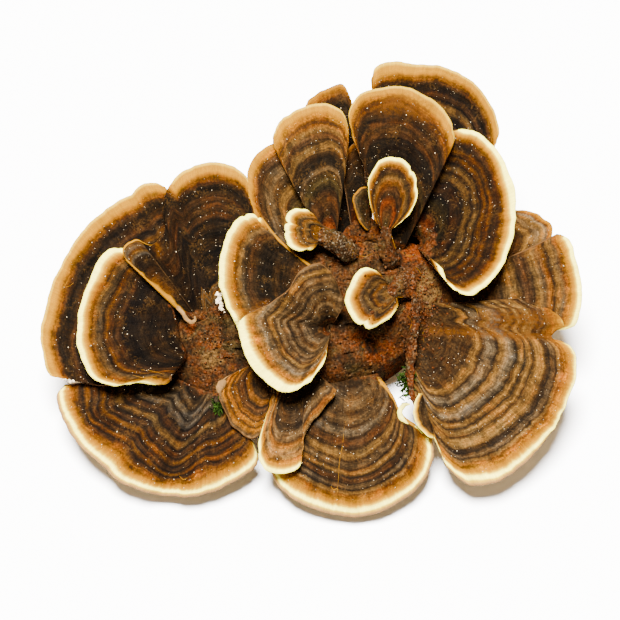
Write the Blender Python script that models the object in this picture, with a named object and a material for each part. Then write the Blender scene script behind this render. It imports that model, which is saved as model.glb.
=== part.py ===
"""Turkey tail fungus: two rosettes of thin brackets grown together on one foot.

Lengths in the tables are millimetres in the plane of the rosettes' face, which looks
up and forwards: "across" runs right, "up" runs up the face and "toward" comes out of
it. place() turns them into metres in the world. The foot is cut off flat at z = 0 and
the world's origin is the middle of that cut.
"""

import math

import bmesh
import bpy
import numpy as np
from mathutils import Vector

NAME = "turkey_tail_fungus"
MM = 0.001

# How far the face looks above the horizon, and where the face's own origin sits (mm).
FACE_TILT = math.radians(60.0)
FACE_ORIGIN = (2.0, -3.0, 25.0)

# Flesh thickness of a bracket where it joins the foot and at its margin (mm).
ROOT_THICKNESS = 2.4
RIM_THICKNESS = 1.1
# Power of the share from root to margin by which the flesh thins.
THINNING = 0.7
# Room left between a bracket and what it grows against (mm).
ROOM = 0.42

# Faces across a bracket and from its root to its margin.
WIDE_COLUMNS, WIDE_ROWS = 18, 4
SMALL_COLUMNS, SMALL_ROWS = 13, 3
STALK_ROWS = 2
# Radius of the arc that a bracket with a round root starts from (mm).
ROUND_ROOT = 1.2

# The foot: an oval cut with this long and short half-axis, turned to follow both rosettes.
FOOT_CUT = (30.0, 15.0)
FOOT_TURN = math.radians(18.0)
# Its crusty top: half-axes and middle in the face's plane, and the height of its edge.
CRUST_SIZE = (32.5, 17.0)
CRUST_MIDDLE = (-1.0, -2.0)
CRUST_EDGE_TOWARD = -5.0
CRUST_DOME = 4.0
CRUST_EDGE_POWER = 6
# Heights of the crust's lumps and of its long ripple (mm), with their turns per mm (radians).
LUMP_HEIGHT, LUMP_ACROSS, LUMP_UP = 0.8, 0.55, 0.6
RIPPLE_HEIGHT, RIPPLE_ACROSS, RIPPLE_UP = 0.5, 0.31, 0.47
# Rings of the crust as shares of its half-axes, and of the wall as shares of its height.
CRUST_RINGS = (1.0, 0.86, 0.66, 0.44, 0.22)
WALL_RINGS = (0.3, 0.62, 0.86)
# How much the wall draws in at its waist.
WAIST = 0.1
FOOT_SIDES = 32

FOOT_ROUGHNESS = 0.9
BRACKET_ROUGHNESS = 0.8
SHARP_ANGLE = math.radians(50.0)

DARK_BROWN = (0.10, 0.055, 0.03)
GREY_BROWN = (0.16, 0.11, 0.07)
ORANGE_BROWN = (0.28, 0.13, 0.04)
CRUST_RUST = (0.33, 0.14, 0.06)

# Each bracket: its root line or the centre of its round root, the margin in order, the
# points that its two side edges pass through between root and margin, for a stalked one
# the neck line, the bulge of the middle toward the viewer, its folds as (place along the
# margin 0-1, half-width 0-1, depth) and its colour. Brackets come front to back, so each
# one makes room for those listed before it.
BRACKETS = {
    "cap_middle_tongue": dict(
        centre=(4.7, -4.0, 1.4),
        rim=((7.6, 1.0, 5.0), (5.7, 6.8, 6.5), (2.1, 10.5, 8.0), (-2.0, 8.8, 8.0),
             (-4.5, 5.2, 7.2), (-9.5, 1.6, 6.4), (-15.6, -2.6, 6.2), (-15.0, -8.0, 7.0),
             (-11.3, -14.4, 8.4), (-5.5, -18.3, 9.6), (-0.3, -16.2, 9.6), (2.6, -12.0, 8.6),
             (3.6, -9.2, 6.6)),
        bulge=1.4, colour=GREY_BROWN),
    "cap_kidney": dict(
        root=((23.5, 6.6, 0.5), (23.5, 2.6, 0.5)), neck=((17.8, 5.2, 4.0), (19.2, 2.8, 4.0)),
        rim=((16.0, 7.4, 5.0), (14.6, 8.4, 5.6), (12.4, 9.1, 6.2), (9.3, 7.2, 6.8),
             (8.0, 3.5, 7.2), (8.8, -1.2, 7.4), (12.2, -4.0, 7.4), (16.6, -2.5, 6.6),
             (19.2, -0.2, 5.2), (19.6, 1.0, 4.6)),
        bulge=0.8, colour=GREY_BROWN),
    "cap_spoon": dict(
        root=((16.2, 10.0, -0.5), (20.4, 9.6, -0.5)), neck=((15.6, 18.0, 3.6), (17.8, 17.6, 3.6)),
        rim=((14.6, 19.4, 4.2), (13.2, 24.4, 6.0), (13.3, 29.6, 7.6), (15.6, 33.0, 8.8),
             (19.4, 33.5, 9.2), (22.6, 30.8, 8.8), (23.7, 26.4, 8.0), (22.2, 22.0, 6.6),
             (19.8, 19.2, 5.0), (18.6, 18.2, 4.2)),
        bulge=-0.5, colour=ORANGE_BROWN),
    "cap_torn": dict(
        root=((10.2, 15.6, -0.5), (8.6, 10.4, -0.5)), neck=((2.8, 18.8, 3.6), (1.8, 14.6, 3.8)),
        rim=((0.9, 20.9, 4.8), (-1.6, 22.5, 5.6), (-4.4, 21.8, 6.0), (-5.6, 18.8, 6.2),
             (-5.7, 15.6, 6.2), (-4.3, 13.5, 6.2), (-1.4, 12.8, 5.8), (0.9, 13.5, 4.8)),
        bulge=0.5, colour=ORANGE_BROWN),
    "cap_middle_left": dict(
        root=((2.5, 8.5, 0.5), (-1.0, 0.5, 0.8)),
        rim=((-10.4, 20.4, 4.0), (-12.8, 21.6, 4.4), (-16.6, 19.8, 4.8), (-19.4, 13.8, 5.0),
             (-20.1, 8.0, 5.0), (-18.8, 1.0, 4.4), (-16.4, -3.4, 3.8), (-14.6, -7.0, 3.4)),
        sides=(((-3.2, 12.6, 2.2), (-7.5, 16.6, 3.2)), ()),
        bulge=0.6, colour=DARK_BROWN),
    "cap_left_top": dict(
        root=((-13.5, -5.0, -2.5), (-26.3, -3.2, -1.2)),
        rim=((-12.2, 20.5, -1.6), (-12.8, 27.5, -1.2), (-15.6, 31.4, -0.8), (-21.5, 32.8, -0.6),
             (-27.5, 31.6, -0.6), (-31.2, 28.0, -0.6), (-32.6, 22.5, 0.0), (-33.2, 16.0, 2.2),
             (-35.0, 14.4, 4.0), (-38.6, 15.5, 5.6), (-41.2, 13.4, 6.2), (-40.6, 10.8, 6.2)),
        bulge=0.8, colour=DARK_BROWN),
    "cap_left_front": dict(
        root=((-29.6, 3.0, -1.0), (-26.4, -10.5, -0.6)),
        rim=((-40.4, 13.6, 2.6), (-44.5, 13.2, 3.4), (-49.0, 6.0, 4.4), (-51.5, -2.0, 4.8),
             (-51.2, -9.5, 5.0), (-48.5, -14.8, 5.2), (-44.0, -16.9, 5.2), (-37.5, -16.4, 4.4),
             (-32.0, -16.5, 3.4), (-30.6, -15.4, 2.6)),
        bulge=1.6, folds=((0.66, 0.05, 0.8),), colour=DARK_BROWN),
    "cap_bottom_small": dict(
        centre=(-2.0, -11.0, -1.4),
        rim=((-8.2, -18.5, 1.6), (-10.0, -23.5, 3.0), (-11.4, -31.0, 4.8), (-10.6, -34.6, 5.4),
             (-6.6, -36.4, 5.6), (-2.6, -34.8, 5.2), (-1.7, -31.0, 4.6), (-0.9, -26.6, 3.4),
             (2.2, -22.8, 2.4), (6.0, -17.8, 1.6)),
        bulge=0.6, colour=DARK_BROWN),
    "cap_left_small": dict(
        root=((-12.0, -11.5, -1.2), (-8.0, -15.0, -1.6)),
        rim=((-17.4, -14.2, 1.6), (-19.4, -15.4, 2.2), (-20.2, -17.6, 2.2), (-18.8, -22.8, 1.6),
             (-16.6, -26.4, 1.2), (-12.6, -28.8, 1.0), (-10.4, -27.5, 0.8)),
        bulge=0.4, colour=ORANGE_BROWN),
    "cap_top": dict(
        centre=(20.0, 11.5, -2.4),
        rim=((9.4, 24.0, 0.6), (10.6, 28.2, 1.4), (10.2, 33.2, 2.4), (8.7, 38.8, 3.2),
             (8.4, 43.0, 4.0), (10.4, 47.0, 4.6), (14.8, 49.1, 5.0), (20.8, 49.2, 5.4),
             (26.8, 46.7, 5.6), (31.2, 42.2, 5.4), (31.8, 38.2, 4.8), (30.6, 34.6, 4.0)),
        bulge=1.4, colour=DARK_BROWN),
    "cap_upper_middle": dict(
        centre=(5.2, 11.0, -3.4),
        rim=((-6.0, 32.0, 0.2), (-8.3, 38.4, 0.8), (-6.4, 42.4, 1.4), (-1.8, 44.7, 1.8),
             (3.4, 45.6, 2.0), (7.4, 43.6, 1.6), (8.6, 39.6, 0.8), (8.5, 34.6, 0.2)),
        bulge=1.8, colour=DARK_BROWN),
    "cap_right_top": dict(
        centre=(23.2, 14.8, -3.2),
        rim=((24.6, 33.5, -0.4), (28.0, 37.4, 0.0), (32.6, 39.8, 0.4), (36.6, 39.6, 0.8),
             (41.8, 35.0, 1.6), (45.1, 27.5, 3.0), (45.6, 19.5, 4.4), (43.6, 11.8, 5.6),
             (39.4, 5.9, 6.4), (34.6, 3.1, 6.6), (31.2, 4.6, 5.8), (28.9, 6.6, 4.4)),
        bulge=1.2, colour=DARK_BROWN),
    "cap_upper_small": dict(
        root=((10.0, 13.0, -5.6), (14.0, 13.0, -5.6)),
        rim=((7.4, 29.0, -2.6), (7.8, 33.2, -2.2), (9.8, 35.4, -1.8), (12.6, 34.2, -1.8),
             (13.8, 30.0, -2.2)),
        bulge=0.4, colour=DARK_BROWN),
    "cap_upper_left": dict(
        root=((6.5, 12.0, -5.8), (1.0, 9.5, -5.8)),
        rim=((-4.0, 38.4, -2.4), (-8.4, 37.0, -2.0), (-12.2, 34.4, -1.4), (-13.6, 30.8, -1.0),
             (-12.4, 24.6, -0.8), (-9.8, 19.2, -0.8), (-6.2, 15.2, -1.2), (-4.0, 12.6, -2.0)),
        bulge=0.8, colour=GREY_BROWN),
    "cap_right_lower": dict(
        root=((21.5, 1.0, -5.6), (21.0, -9.0, -5.6)),
        rim=((46.4, 2.6, 0.8), (50.4, 0.7, 1.8), (54.0, 0.0, 2.4), (56.5, -3.4, 2.6),
             (54.0, -5.8, 1.0), (58.0, -8.2, 2.4), (58.9, -14.6, 3.2), (55.9, -22.7, 3.6),
             (49.5, -32.2, 3.8), (42.4, -37.6, 3.8), (36.0, -38.8, 3.6), (30.6, -35.2, 2.8),
             (27.8, -29.2, 1.8), (24.3, -25.0, 0.4), (23.2, -20.6, -1.4)),
        bulge=1.8, colour=GREY_BROWN),
    "cap_bottom": dict(
        root=((3.0, -12.5, -4.4), (15.0, -14.0, -4.4)),
        rim=((-9.6, -33.4, 0.2), (-7.6, -38.6, 1.6), (-3.3, -42.4, 2.4), (3.0, -45.1, 2.8),
             (9.6, -46.0, 3.0), (16.7, -44.5, 2.8), (23.3, -40.0, 2.2), (27.0, -34.0, 0.8),
             (27.2, -28.6, -0.8)),
        sides=((), ((18.8, -19.6, -1.2), (20.4, -23.0, 0.0), (23.6, -25.6, -0.2))),
        bulge=1.6, colour=DARK_BROWN),
    "cap_left_outer": dict(
        root=((-22.0, 0.0, -5.8), (-27.0, -11.0, -5.6)),
        rim=((-31.0, 26.0, -3.2), (-33.6, 28.4, -2.8), (-42.5, 24.6, -2.4), (-50.0, 18.5, -1.8),
             (-55.0, 11.0, -1.0), (-58.7, 2.0, -0.2), (-59.6, -8.4, 0.4), (-57.8, -14.4, 0.6),
             (-53.6, -15.4, 0.4)),
        bulge=1.2, colour=DARK_BROWN),
    "cap_left_bottom": dict(
        root=((-27.0, -13.0, -6.0), (-20.5, -15.5, -5.4)),
        rim=((-54.6, -16.6, -2.4), (-56.3, -18.6, -1.8), (-55.4, -23.4, -0.6), (-48.5, -32.6, 1.4),
             (-39.5, -39.5, 2.4), (-30.0, -41.5, 2.6), (-22.0, -40.4, 2.2), (-15.0, -36.9, 1.0),
             (-11.6, -33.4, -0.2), (-12.8, -29.2, -1.4)),
        bulge=1.8, folds=((0.64, 0.06, 1.6), (0.2, 0.05, 1.0)), colour=DARK_BROWN),
    "cap_right_upper": dict(
        root=((22.5, 4.5, -6.0), (22.5, -2.0, -6.2)),
        rim=((55.0, 17.0, -0.8), (57.4, 15.8, -0.6), (59.2, 11.4, -0.4), (60.2, 6.0, -0.4),
             (60.3, 0.6, -0.4), (58.8, -3.8, -0.8), (55.0, -4.4, -1.6)),
        sides=(((34.0, 8.4, -3.6), (46.4, 12.8, -1.8)), ()),
        bulge=1.0, colour=ORANGE_BROWN),
    "cap_right_back": dict(
        root=((22.0, 12.0, -9.0), (23.5, 6.0, -9.0)),
        rim=((41.0, 23.6, -5.8), (46.0, 22.6, -5.4), (50.0, 21.5, -5.0), (54.2, 18.2, -4.6),
             (53.8, 15.2, -4.8), (51.0, 12.4, -5.2)),
        bulge=0.6, colour=GREY_BROWN),
    "cap_back_small": dict(
        root=((7.0, 11.0, -9.0), (12.0, 11.0, -9.0)),
        rim=((-1.6, 43.6, -6.4), (-0.2, 47.0, -6.2), (3.4, 49.2, -6.0), (7.4, 50.4, -6.0),
             (8.9, 48.2, -6.2), (9.6, 44.0, -6.4)),
        bulge=0.4, colour=DARK_BROWN),
    "cap_back": dict(
        root=((16.0, 11.0, -9.4), (24.0, 11.0, -9.4)),
        rim=((13.6, 51.4, -4.8), (14.2, 53.6, -4.6), (16.6, 55.0, -4.6), (22.0, 55.2, -4.4),
             (29.6, 54.3, -4.2), (34.6, 52.0, -4.2), (39.6, 47.0, -4.4), (42.5, 40.4, -4.8),
             (41.2, 35.4, -5.2)),
        sides=(((14.6, 30.0, -7.0), (14.2, 44.0, -5.4)), ()),
        bulge=0.8, colour=DARK_BROWN),
}
# Brackets made with fewer faces because they are small.
SMALL_BRACKETS = ("cap_kidney", "cap_spoon", "cap_torn", "cap_left_small", "cap_upper_small",
                  "cap_right_back", "cap_back_small")


def place(points):
    """Turns points (across, up, toward) in mm into world metres."""
    across, up, toward = np.asarray(points, float).T
    x = across + FACE_ORIGIN[0]
    y = up * math.sin(FACE_TILT) - toward * math.cos(FACE_TILT) + FACE_ORIGIN[1]
    z = up * math.cos(FACE_TILT) + toward * math.sin(FACE_TILT) + FACE_ORIGIN[2]
    return np.stack([x, y, z], axis=-1) * MM


def smooth_line(points, count):
    """Even points along a smooth cubic curve through the given ones."""
    points = np.asarray(points, float)
    steps = np.linalg.norm(np.diff(points, axis=0), axis=1)
    knots = np.concatenate([[0.0], np.cumsum(steps)])
    slopes = np.gradient(points, knots, axis=0)
    along = np.linspace(0.0, knots[-1], count)
    k = np.clip(np.searchsorted(knots, along, side="right") - 1, 0, len(steps) - 1)
    h = steps[k][:, None]
    x = (along - knots[k])[:, None] / h
    start = (1 + 2 * x) * (1 - x) ** 2 * points[k] + x * (1 - x) ** 2 * h * slopes[k]
    end = x * x * (3 - 2 * x) * points[k + 1] + x * x * (x - 1) * h * slopes[k + 1]
    return start + end


def patch(inner, outer, first_side, second_side):
    """A surface filled in between four edge curves (a bilinear Coons patch)."""
    along = np.linspace(0.0, 1.0, len(inner))[None, :, None]
    out = np.linspace(0.0, 1.0, len(first_side))[:, None, None]
    across = (1 - out) * inner[None] + out * outer[None]
    outward = (1 - along) * first_side[:, None] + along * second_side[:, None]
    corners = (1 - out) * ((1 - along) * inner[0] + along * inner[-1])
    corners = corners + out * ((1 - along) * outer[0] + along * outer[-1])
    return across + outward - corners


def bracket_sheet(bracket, columns, rows):
    """The upper surface of a bracket: rows of points from its root to its margin.

    A patch between root line, margin and two side edges, lifted in the middle by the
    bulge and pressed in along the folds. A stalked one starts at its neck line, and
    straight rows lead from the root line to the neck.
    """
    rim = smooth_line(bracket["rim"], columns + 1)
    along = np.linspace(0.0, 1.0, columns + 1)
    if "centre" in bracket:
        outward = rim - np.array(bracket["centre"], float)
        inner = rim - outward * (1.0 - ROUND_ROOT / np.linalg.norm(outward, axis=1)[:, None])
    else:
        start = np.array(bracket.get("neck", bracket.get("root")), float)
        inner = start[0] + (start[1] - start[0]) * along[:, None]
    middles = bracket.get("sides", ((), ()))
    first_side = smooth_line([inner[0], *middles[0], rim[0]], rows + 1)
    second_side = smooth_line([inner[-1], *middles[1], rim[-1]], rows + 1)
    sheet = patch(inner, rim, first_side, second_side)
    out = np.linspace(0.0, 1.0, rows + 1)
    sheet[..., 2] += bracket["bulge"] * 4.0 * (out * (1.0 - out))[:, None]
    for middle, half_width, depth in bracket.get("folds", ()):
        press = depth * np.exp(-(((along - middle) / half_width) ** 2))
        sheet[..., 2] -= out[:, None] * press
    if "neck" in bracket:
        first, second = np.array(bracket["root"], float)
        root = first + (second - first) * along[:, None]
        shares = np.arange(STALK_ROWS) / STALK_ROWS
        stalk = root + (inner - root) * shares[:, None, None]
        sheet = np.concatenate([stalk, sheet])
    return sheet


def material(name, colour, roughness):
    mat = bpy.data.materials.new(name)
    mat.use_nodes = True
    shader = mat.node_tree.nodes["Principled BSDF"]
    shader.inputs["Base Color"].default_value = (*colour, 1.0)
    shader.inputs["Roughness"].default_value = roughness
    shader.inputs["Metallic"].default_value = 0.0
    return mat


def new_object(name, mesh, collection):
    thing = bpy.data.objects.new(name, mesh)
    collection.objects.link(thing)
    return thing


def grid_mesh(name, points):
    """An open surface of quads through a grid of world points, facing the viewer."""
    rows, columns = points.shape[:2]
    number = np.arange(rows * columns).reshape(rows, columns)
    corners = np.stack([number[:-1, :-1], number[:-1, 1:], number[1:, 1:], number[1:, :-1]], axis=-1)
    mesh = bpy.data.meshes.new(name)
    mesh.from_pydata(points.reshape(-1, 3).tolist(), [], corners.reshape(-1, 4).tolist())
    return mesh


def facing(sheet):
    """The sheet with its columns in the order that turns its faces toward the viewer."""
    tangent = sheet[-1, 1:, :2] - sheet[-1, :-1, :2]
    outward = sheet[-1, 1:, :2] - sheet[0, 1:, :2]
    turn = (tangent[:, 0] * outward[:, 1] - tangent[:, 1] * outward[:, 0]).sum()
    return sheet if turn > 0.0 else sheet[:, ::-1]


def grown(sheet, step):
    """The sheet with each of its four edges moved outward by a step."""

    def beyond(edge, inner):
        away = edge - inner
        return edge + away * step / np.linalg.norm(away, axis=-1, keepdims=True)

    sheet = sheet.copy()
    sheet[-1] = beyond(sheet[-1], sheet[-2])
    sheet[0] = beyond(sheet[0], sheet[1])
    sheet[:, 0] = beyond(sheet[:, 0], sheet[:, 1])
    sheet[:, -1] = beyond(sheet[:, -1], sheet[:, -2])
    return sheet


def bracket_object(name, bracket, collection, room=0.0):
    """A bracket: its upper sheet extruded straight back, thick at the root, thin at the margin.

    With a room it is larger by that much on all sides.
    """
    small = name.removesuffix("_room") in SMALL_BRACKETS
    columns, rows = (SMALL_COLUMNS, SMALL_ROWS) if small else (WIDE_COLUMNS, WIDE_ROWS)
    sheet = facing(bracket_sheet(bracket, columns, rows))
    if room:
        sheet = grown(sheet, room)
        sheet[..., 2] += room
    from_root = np.linspace(0.0, 1.0, len(sheet))[:, None] ** THINNING
    thickness = ROOT_THICKNESS + (RIM_THICKNESS - ROOT_THICKNESS) * from_root + 2.0 * room
    thickness = np.broadcast_to(thickness, sheet.shape[:2]).ravel()
    backward = Vector((place([(0.0, 0.0, -1.0)]) - place([(0.0, 0.0, 0.0)]))[0])
    mesh = grid_mesh(name, place(sheet.reshape(-1, 3)).reshape(sheet.shape))
    bm = bmesh.new()
    bm.from_mesh(mesh)
    depth = bm.verts.layers.float.new("depth")
    for vertex, amount in zip(bm.verts, thickness):
        vertex[depth] = amount
    extruded = bmesh.ops.extrude_face_region(bm, geom=bm.faces[:], use_keep_orig=True)
    for vertex in extruded["geom"]:
        if isinstance(vertex, bmesh.types.BMVert):
            vertex.co += backward * vertex[depth]
    bmesh.ops.recalc_face_normals(bm, faces=bm.faces)
    bm.to_mesh(mesh)
    bm.free()
    return new_object(name, mesh, collection)


def crust_height(across, up):
    """How far the crust's lumps stand out of its dome, in mm."""
    lumps = np.sin(across * LUMP_ACROSS + 1.0) * np.cos(up * LUMP_UP - 0.4)
    return LUMP_HEIGHT * lumps + RIPPLE_HEIGHT * np.sin(across * RIPPLE_ACROSS - up * RIPPLE_UP)


def oval(half_axes, turn, count):
    """A turned ellipse as count points (x, y)."""
    angle = np.linspace(0.0, 2.0 * math.pi, count, endpoint=False)
    x = half_axes[0] * np.cos(angle)
    y = half_axes[1] * np.sin(angle)
    turned_x = x * math.cos(turn) - y * math.sin(turn)
    turned_y = x * math.sin(turn) + y * math.cos(turn)
    return np.stack([turned_x, turned_y], axis=-1)


def foot_object(collection):
    """The foot: a loft from the flat oval cut up to the crust's edge, closed by the lumpy crust."""
    cut = np.zeros((FOOT_SIDES, 3))
    cut[:, :2] = oval(FOOT_CUT, FOOT_TURN, FOOT_SIDES) * MM
    edge_shape = oval(CRUST_SIZE, FOOT_TURN, FOOT_SIDES)
    rings = []
    for share in CRUST_RINGS:
        across, up = (edge_shape * share + np.array(CRUST_MIDDLE)).T
        rise = 1.0 - share ** CRUST_EDGE_POWER
        toward = CRUST_EDGE_TOWARD + (CRUST_DOME + crust_height(across, up)) * rise
        rings.append(place(np.stack([across, up, toward], axis=-1)))
    edge = rings[0]
    sides = []
    for share in WALL_RINGS:
        ring = cut + (edge - cut) * share
        middle = ring.mean(axis=0)
        ring[:, :2] = middle[:2] + (ring[:, :2] - middle[:2]) * (1.0 - WAIST * math.sin(math.pi * share))
        sides.append(ring)
    rings = [cut] + sides + rings
    bm = bmesh.new()
    loops = [[bm.verts.new(point) for point in ring] for ring in rings]
    for lower, upper in zip(loops[:-1], loops[1:]):
        for i in range(FOOT_SIDES):
            j = (i + 1) % FOOT_SIDES
            bm.faces.new((lower[i], lower[j], upper[j], upper[i]))
    bm.faces.new(list(reversed(loops[0])))
    crown = bm.verts.new(rings[-1].mean(axis=0))
    for i in range(FOOT_SIDES):
        bm.faces.new((loops[-1][i], loops[-1][(i + 1) % FOOT_SIDES], crown))
    mesh = bpy.data.meshes.new("foot")
    bm.to_mesh(mesh)
    bm.free()
    return new_object("foot", mesh, collection)


def finished_mesh(thing):
    """The mesh of an object with its modifiers done."""
    depsgraph = bpy.context.evaluated_depsgraph_get()
    return bpy.data.meshes.new_from_object(thing.evaluated_get(depsgraph))


def as_cutter(thing):
    """Hides an object from renders and shows it as wire."""
    thing.hide_render = True
    thing.display_type = "WIRE"
    return thing


def foot_room(foot, cutters):
    """A copy of the foot swollen along its normals."""
    room = new_object("foot_room", foot.data.copy(), cutters)
    swell = room.modifiers.new("swell", "DISPLACE")
    swell.mid_level = 0.0
    swell.strength = ROOM * MM
    return as_cutter(room)


def bounds(thing):
    """The corners of an object's bounding box, with room around it."""
    points = np.array([vertex.co for vertex in thing.data.vertices])
    return points.min(axis=0) - ROOM * MM, points.max(axis=0) + ROOM * MM


def boxes_meet(one, other):
    """True where the bounding boxes of two objects overlap."""
    (low, high), (other_low, other_high) = bounds(one), bounds(other)
    return bool(np.all(low < other_high) and np.all(other_low < high))


def keep_largest(mesh):
    """Removes all but the largest connected piece of a mesh."""
    bm = bmesh.new()
    bm.from_mesh(mesh)
    bm.verts.ensure_lookup_table()
    unseen = set(bm.verts)
    pieces = []
    while unseen:
        stack = [unseen.pop()]
        piece = []
        while stack:
            vertex = stack.pop()
            piece.append(vertex)
            for edge in vertex.link_edges:
                other = edge.other_vert(vertex)
                if other in unseen:
                    unseen.discard(other)
                    stack.append(other)
        pieces.append(piece)
    pieces.sort(key=len)
    for piece in pieces[:-1]:
        bmesh.ops.delete(bm, geom=piece, context="VERTS")
    bm.to_mesh(mesh)
    bm.free()


def make_room(thing, rooms):
    """Cuts an object back from each room that it reaches into and keeps its main piece."""
    for room in rooms:
        if boxes_meet(thing, room):
            cut = thing.modifiers.new("room for " + room.name, "BOOLEAN")
            cut.operation = "DIFFERENCE"
            cut.solver = "EXACT"
            cut.object = room
    mesh = finished_mesh(thing)
    if not mesh.polygons:
        raise RuntimeError("nothing is left of " + thing.name)
    keep_largest(mesh)
    thing.modifiers.clear()
    old = thing.data
    thing.data = mesh
    bpy.data.meshes.remove(old)
    mesh.name = thing.name


def build_cluster():
    for old in list(bpy.data.objects):
        bpy.data.objects.remove(old)
    parts = bpy.data.collections.new(NAME)
    cutters = bpy.data.collections.new("cutters")
    for collection in (parts, cutters):
        bpy.context.scene.collection.children.link(collection)
    foot = foot_object(parts)
    foot.data.materials.append(material("foot", CRUST_RUST, FOOT_ROUGHNESS))
    rooms = [foot_room(foot, cutters)]
    for name, bracket in BRACKETS.items():
        thing = bracket_object(name, bracket, parts)
        make_room(thing, rooms)
        rooms.append(as_cutter(bracket_object(name + "_room", bracket, cutters, ROOM)))
        thing.data.materials.append(material(name, bracket["colour"], BRACKET_ROUGHNESS))
        thing.data.shade_smooth()
        thing.data.set_sharp_from_angle(angle=SHARP_ANGLE)


if __name__ == "__main__":
    build_cluster()
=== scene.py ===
import functools
import itertools
import math

import bpy
import numpy as np
from bpy.props import FloatProperty, FloatVectorProperty, IntProperty, PointerProperty
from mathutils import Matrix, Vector


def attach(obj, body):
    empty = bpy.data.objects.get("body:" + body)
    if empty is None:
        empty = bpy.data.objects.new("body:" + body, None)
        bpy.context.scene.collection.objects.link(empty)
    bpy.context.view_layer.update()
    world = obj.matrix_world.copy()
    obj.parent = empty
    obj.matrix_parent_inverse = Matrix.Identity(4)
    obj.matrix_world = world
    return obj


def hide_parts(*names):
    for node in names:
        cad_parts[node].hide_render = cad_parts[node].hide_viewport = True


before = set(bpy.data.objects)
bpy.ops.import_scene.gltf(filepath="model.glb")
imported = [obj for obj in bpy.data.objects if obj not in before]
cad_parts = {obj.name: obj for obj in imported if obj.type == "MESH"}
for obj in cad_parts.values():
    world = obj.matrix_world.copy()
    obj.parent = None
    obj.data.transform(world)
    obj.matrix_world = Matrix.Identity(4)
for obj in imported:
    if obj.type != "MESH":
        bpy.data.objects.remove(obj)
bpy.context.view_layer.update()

bl_info = {
    "name": "Turkey Tail Cluster",
    "version": (1, 0, 0),
    "blender": (4, 5, 0),
    "location": "View3D > Sidebar > Fungus",
    "description": "Two rosettes of zoned, velvety brackets grown together on one crusty foot",
    "category": "Add Mesh",
}

MM = 0.001

# How far the rosettes' face looks above the horizon, and where its own origin sits (mm).
# Points in the tables are (across, up, toward) mm in that face.
FACE_TILT = math.radians(60.0)
FACE_ORIGIN = (2.0, -3.0, 25.0)
# Radius of the arc that a bracket with a round root starts from (mm).
ROUND_ROOT = 1.2
# Power of the share from root to margin by which the flesh thins.
THINNING = 0.7
# The bands of every bracket are laid out over this distance from the margin (mm).
BAND_SPAN = 30.0
# How far crust spreads over a bracket's root where its table says nothing else (mm).
USUAL_CREEP = 2.5
# Places and widths (mm) of the thin pale line along an edge that the bands run past.
USUAL_EDGE_LINE = ((0, 0.3), (1, 0.3))
# Distance in mm over which bands, ridges and waves settle in from an edge.
SETTLING = 2.2
# The depth into the bands that stands for crust, where there are none.
ON_CRUST = 99.0
# Where the lines that lay grains start before the face (mm), how many pieces each may pass through and
# how far past one it goes on (m).
LINE_START, LINE_TRIES, LINE_STEP = 40.0, 8, 1e-5
# Height above its root that a stalk arches to (mm).
STALK_ARCH = 1.2
# Columns and rows of a bracket's grid: least, most and how many to a mm of its margin.
COLUMNS, ROWS = (90, 230, 3.6), (50, 110, 1.7)
# How strongly rows and columns of a bracket's grid crowd toward its edges.
CROWD_SIDES, CROWD_MARGIN = 0.82, 1.35
# Heights and wavelengths (mm) of the margin's scallops, the bands' wander and the ripples.
SCALLOPS = ((0.3, 4.5), (0.17, 1.7), (0.07, 0.7))
WANDER = ((0.9, 9.0), (0.16, 2.6))
RIPPLES = ((0.5, 6.5), (0.16, 2.4))
# Wavelength of a ragged margin; wavelength, reach inward and height of a margin's waves (mm).
RAGGED_LENGTH = 1.1
WAVE_LENGTH, WAVE_REACH, WAVE_HEIGHT = 6.5, 5.0, 0.45
# Spacing of the growth ridges, inward and along the margin, and of the ribs, along it and inward (mm).
RIDGE_SPACING = (0.85, 16.0)
RIB_SPACING, RIB_HEIGHT = (0.55, 7.0), 0.035
# Depth of a crease and of the root below the crust, and over what distance the root sinks (mm).
CREASE_DEPTH = 0.25
ROOT_DEPTH, ROOT_REACH = 1.6, 2.6
# Crumbs that roughen a crusted root: how far past the crust's reach, height and spacing (mm).
CRUMB_REACH, CRUMB_HEIGHT, CRUMB_SPACING = 1.5, 0.5, 0.9
# How far in the lip's rounding reaches against the thickness, and the underside's share of the relief.
LIP_REACH, UNDER_RELIEF = 0.62, 0.6
# Distance from a side edge, over its width, from which it no longer counts as one; how deep the
# bands must start at the edge for the thin pale line to show (mm); how uneven the side edges are.
NO_SIDE, RUN_PAST, SIDE_UNEVEN = 9.0, 0.8, 0.4
# Where the bends of the bands set in, by the distance from the margin (mm).
BENDS_START, BENDS_FULL = 1.0, 7.0
# How frayed the borders of the crust's stains and painted shade spots are, and the size of the fraying (mm).
STAIN_AND_SHADE_FRAY, STAIN_AND_SHADE_FRAY_SIZE = 1.1, 1.6
# Shares of the margin's length over which scallops fade out at its ends, and a notch's sharpness.
SCALLOP_FADE, NOTCH_POWER = 0.03, 1.5

# The foot: its flat cut, its crusty top and how it draws in at the waist (mm, radians).
FOOT_CUT = (30.0, 15.0)
FOOT_TURN = math.radians(18.0)
CRUST_SIZE = (32.5, 17.0)
CRUST_MIDDLE = (-1.0, -2.0)
CRUST_EDGE_TOWARD = -5.0
CRUST_DOME = 4.0
CRUST_EDGE_POWER = 6
LUMP_HEIGHT, LUMP_ACROSS, LUMP_UP = 0.8, 0.55, 0.6
RIPPLE_HEIGHT, RIPPLE_ACROSS, RIPPLE_UP = 0.5, 0.31, 0.47
WAIST = 0.1
# Rings over the cut, up the wall and over the crust, and the smallest ring's share of the outline.
CUT_RINGS, WALL_RINGS, CRUST_RINGS = 24, 60, 150
CUT_MIDDLE, CROWN = 0.02, 0.01
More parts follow.
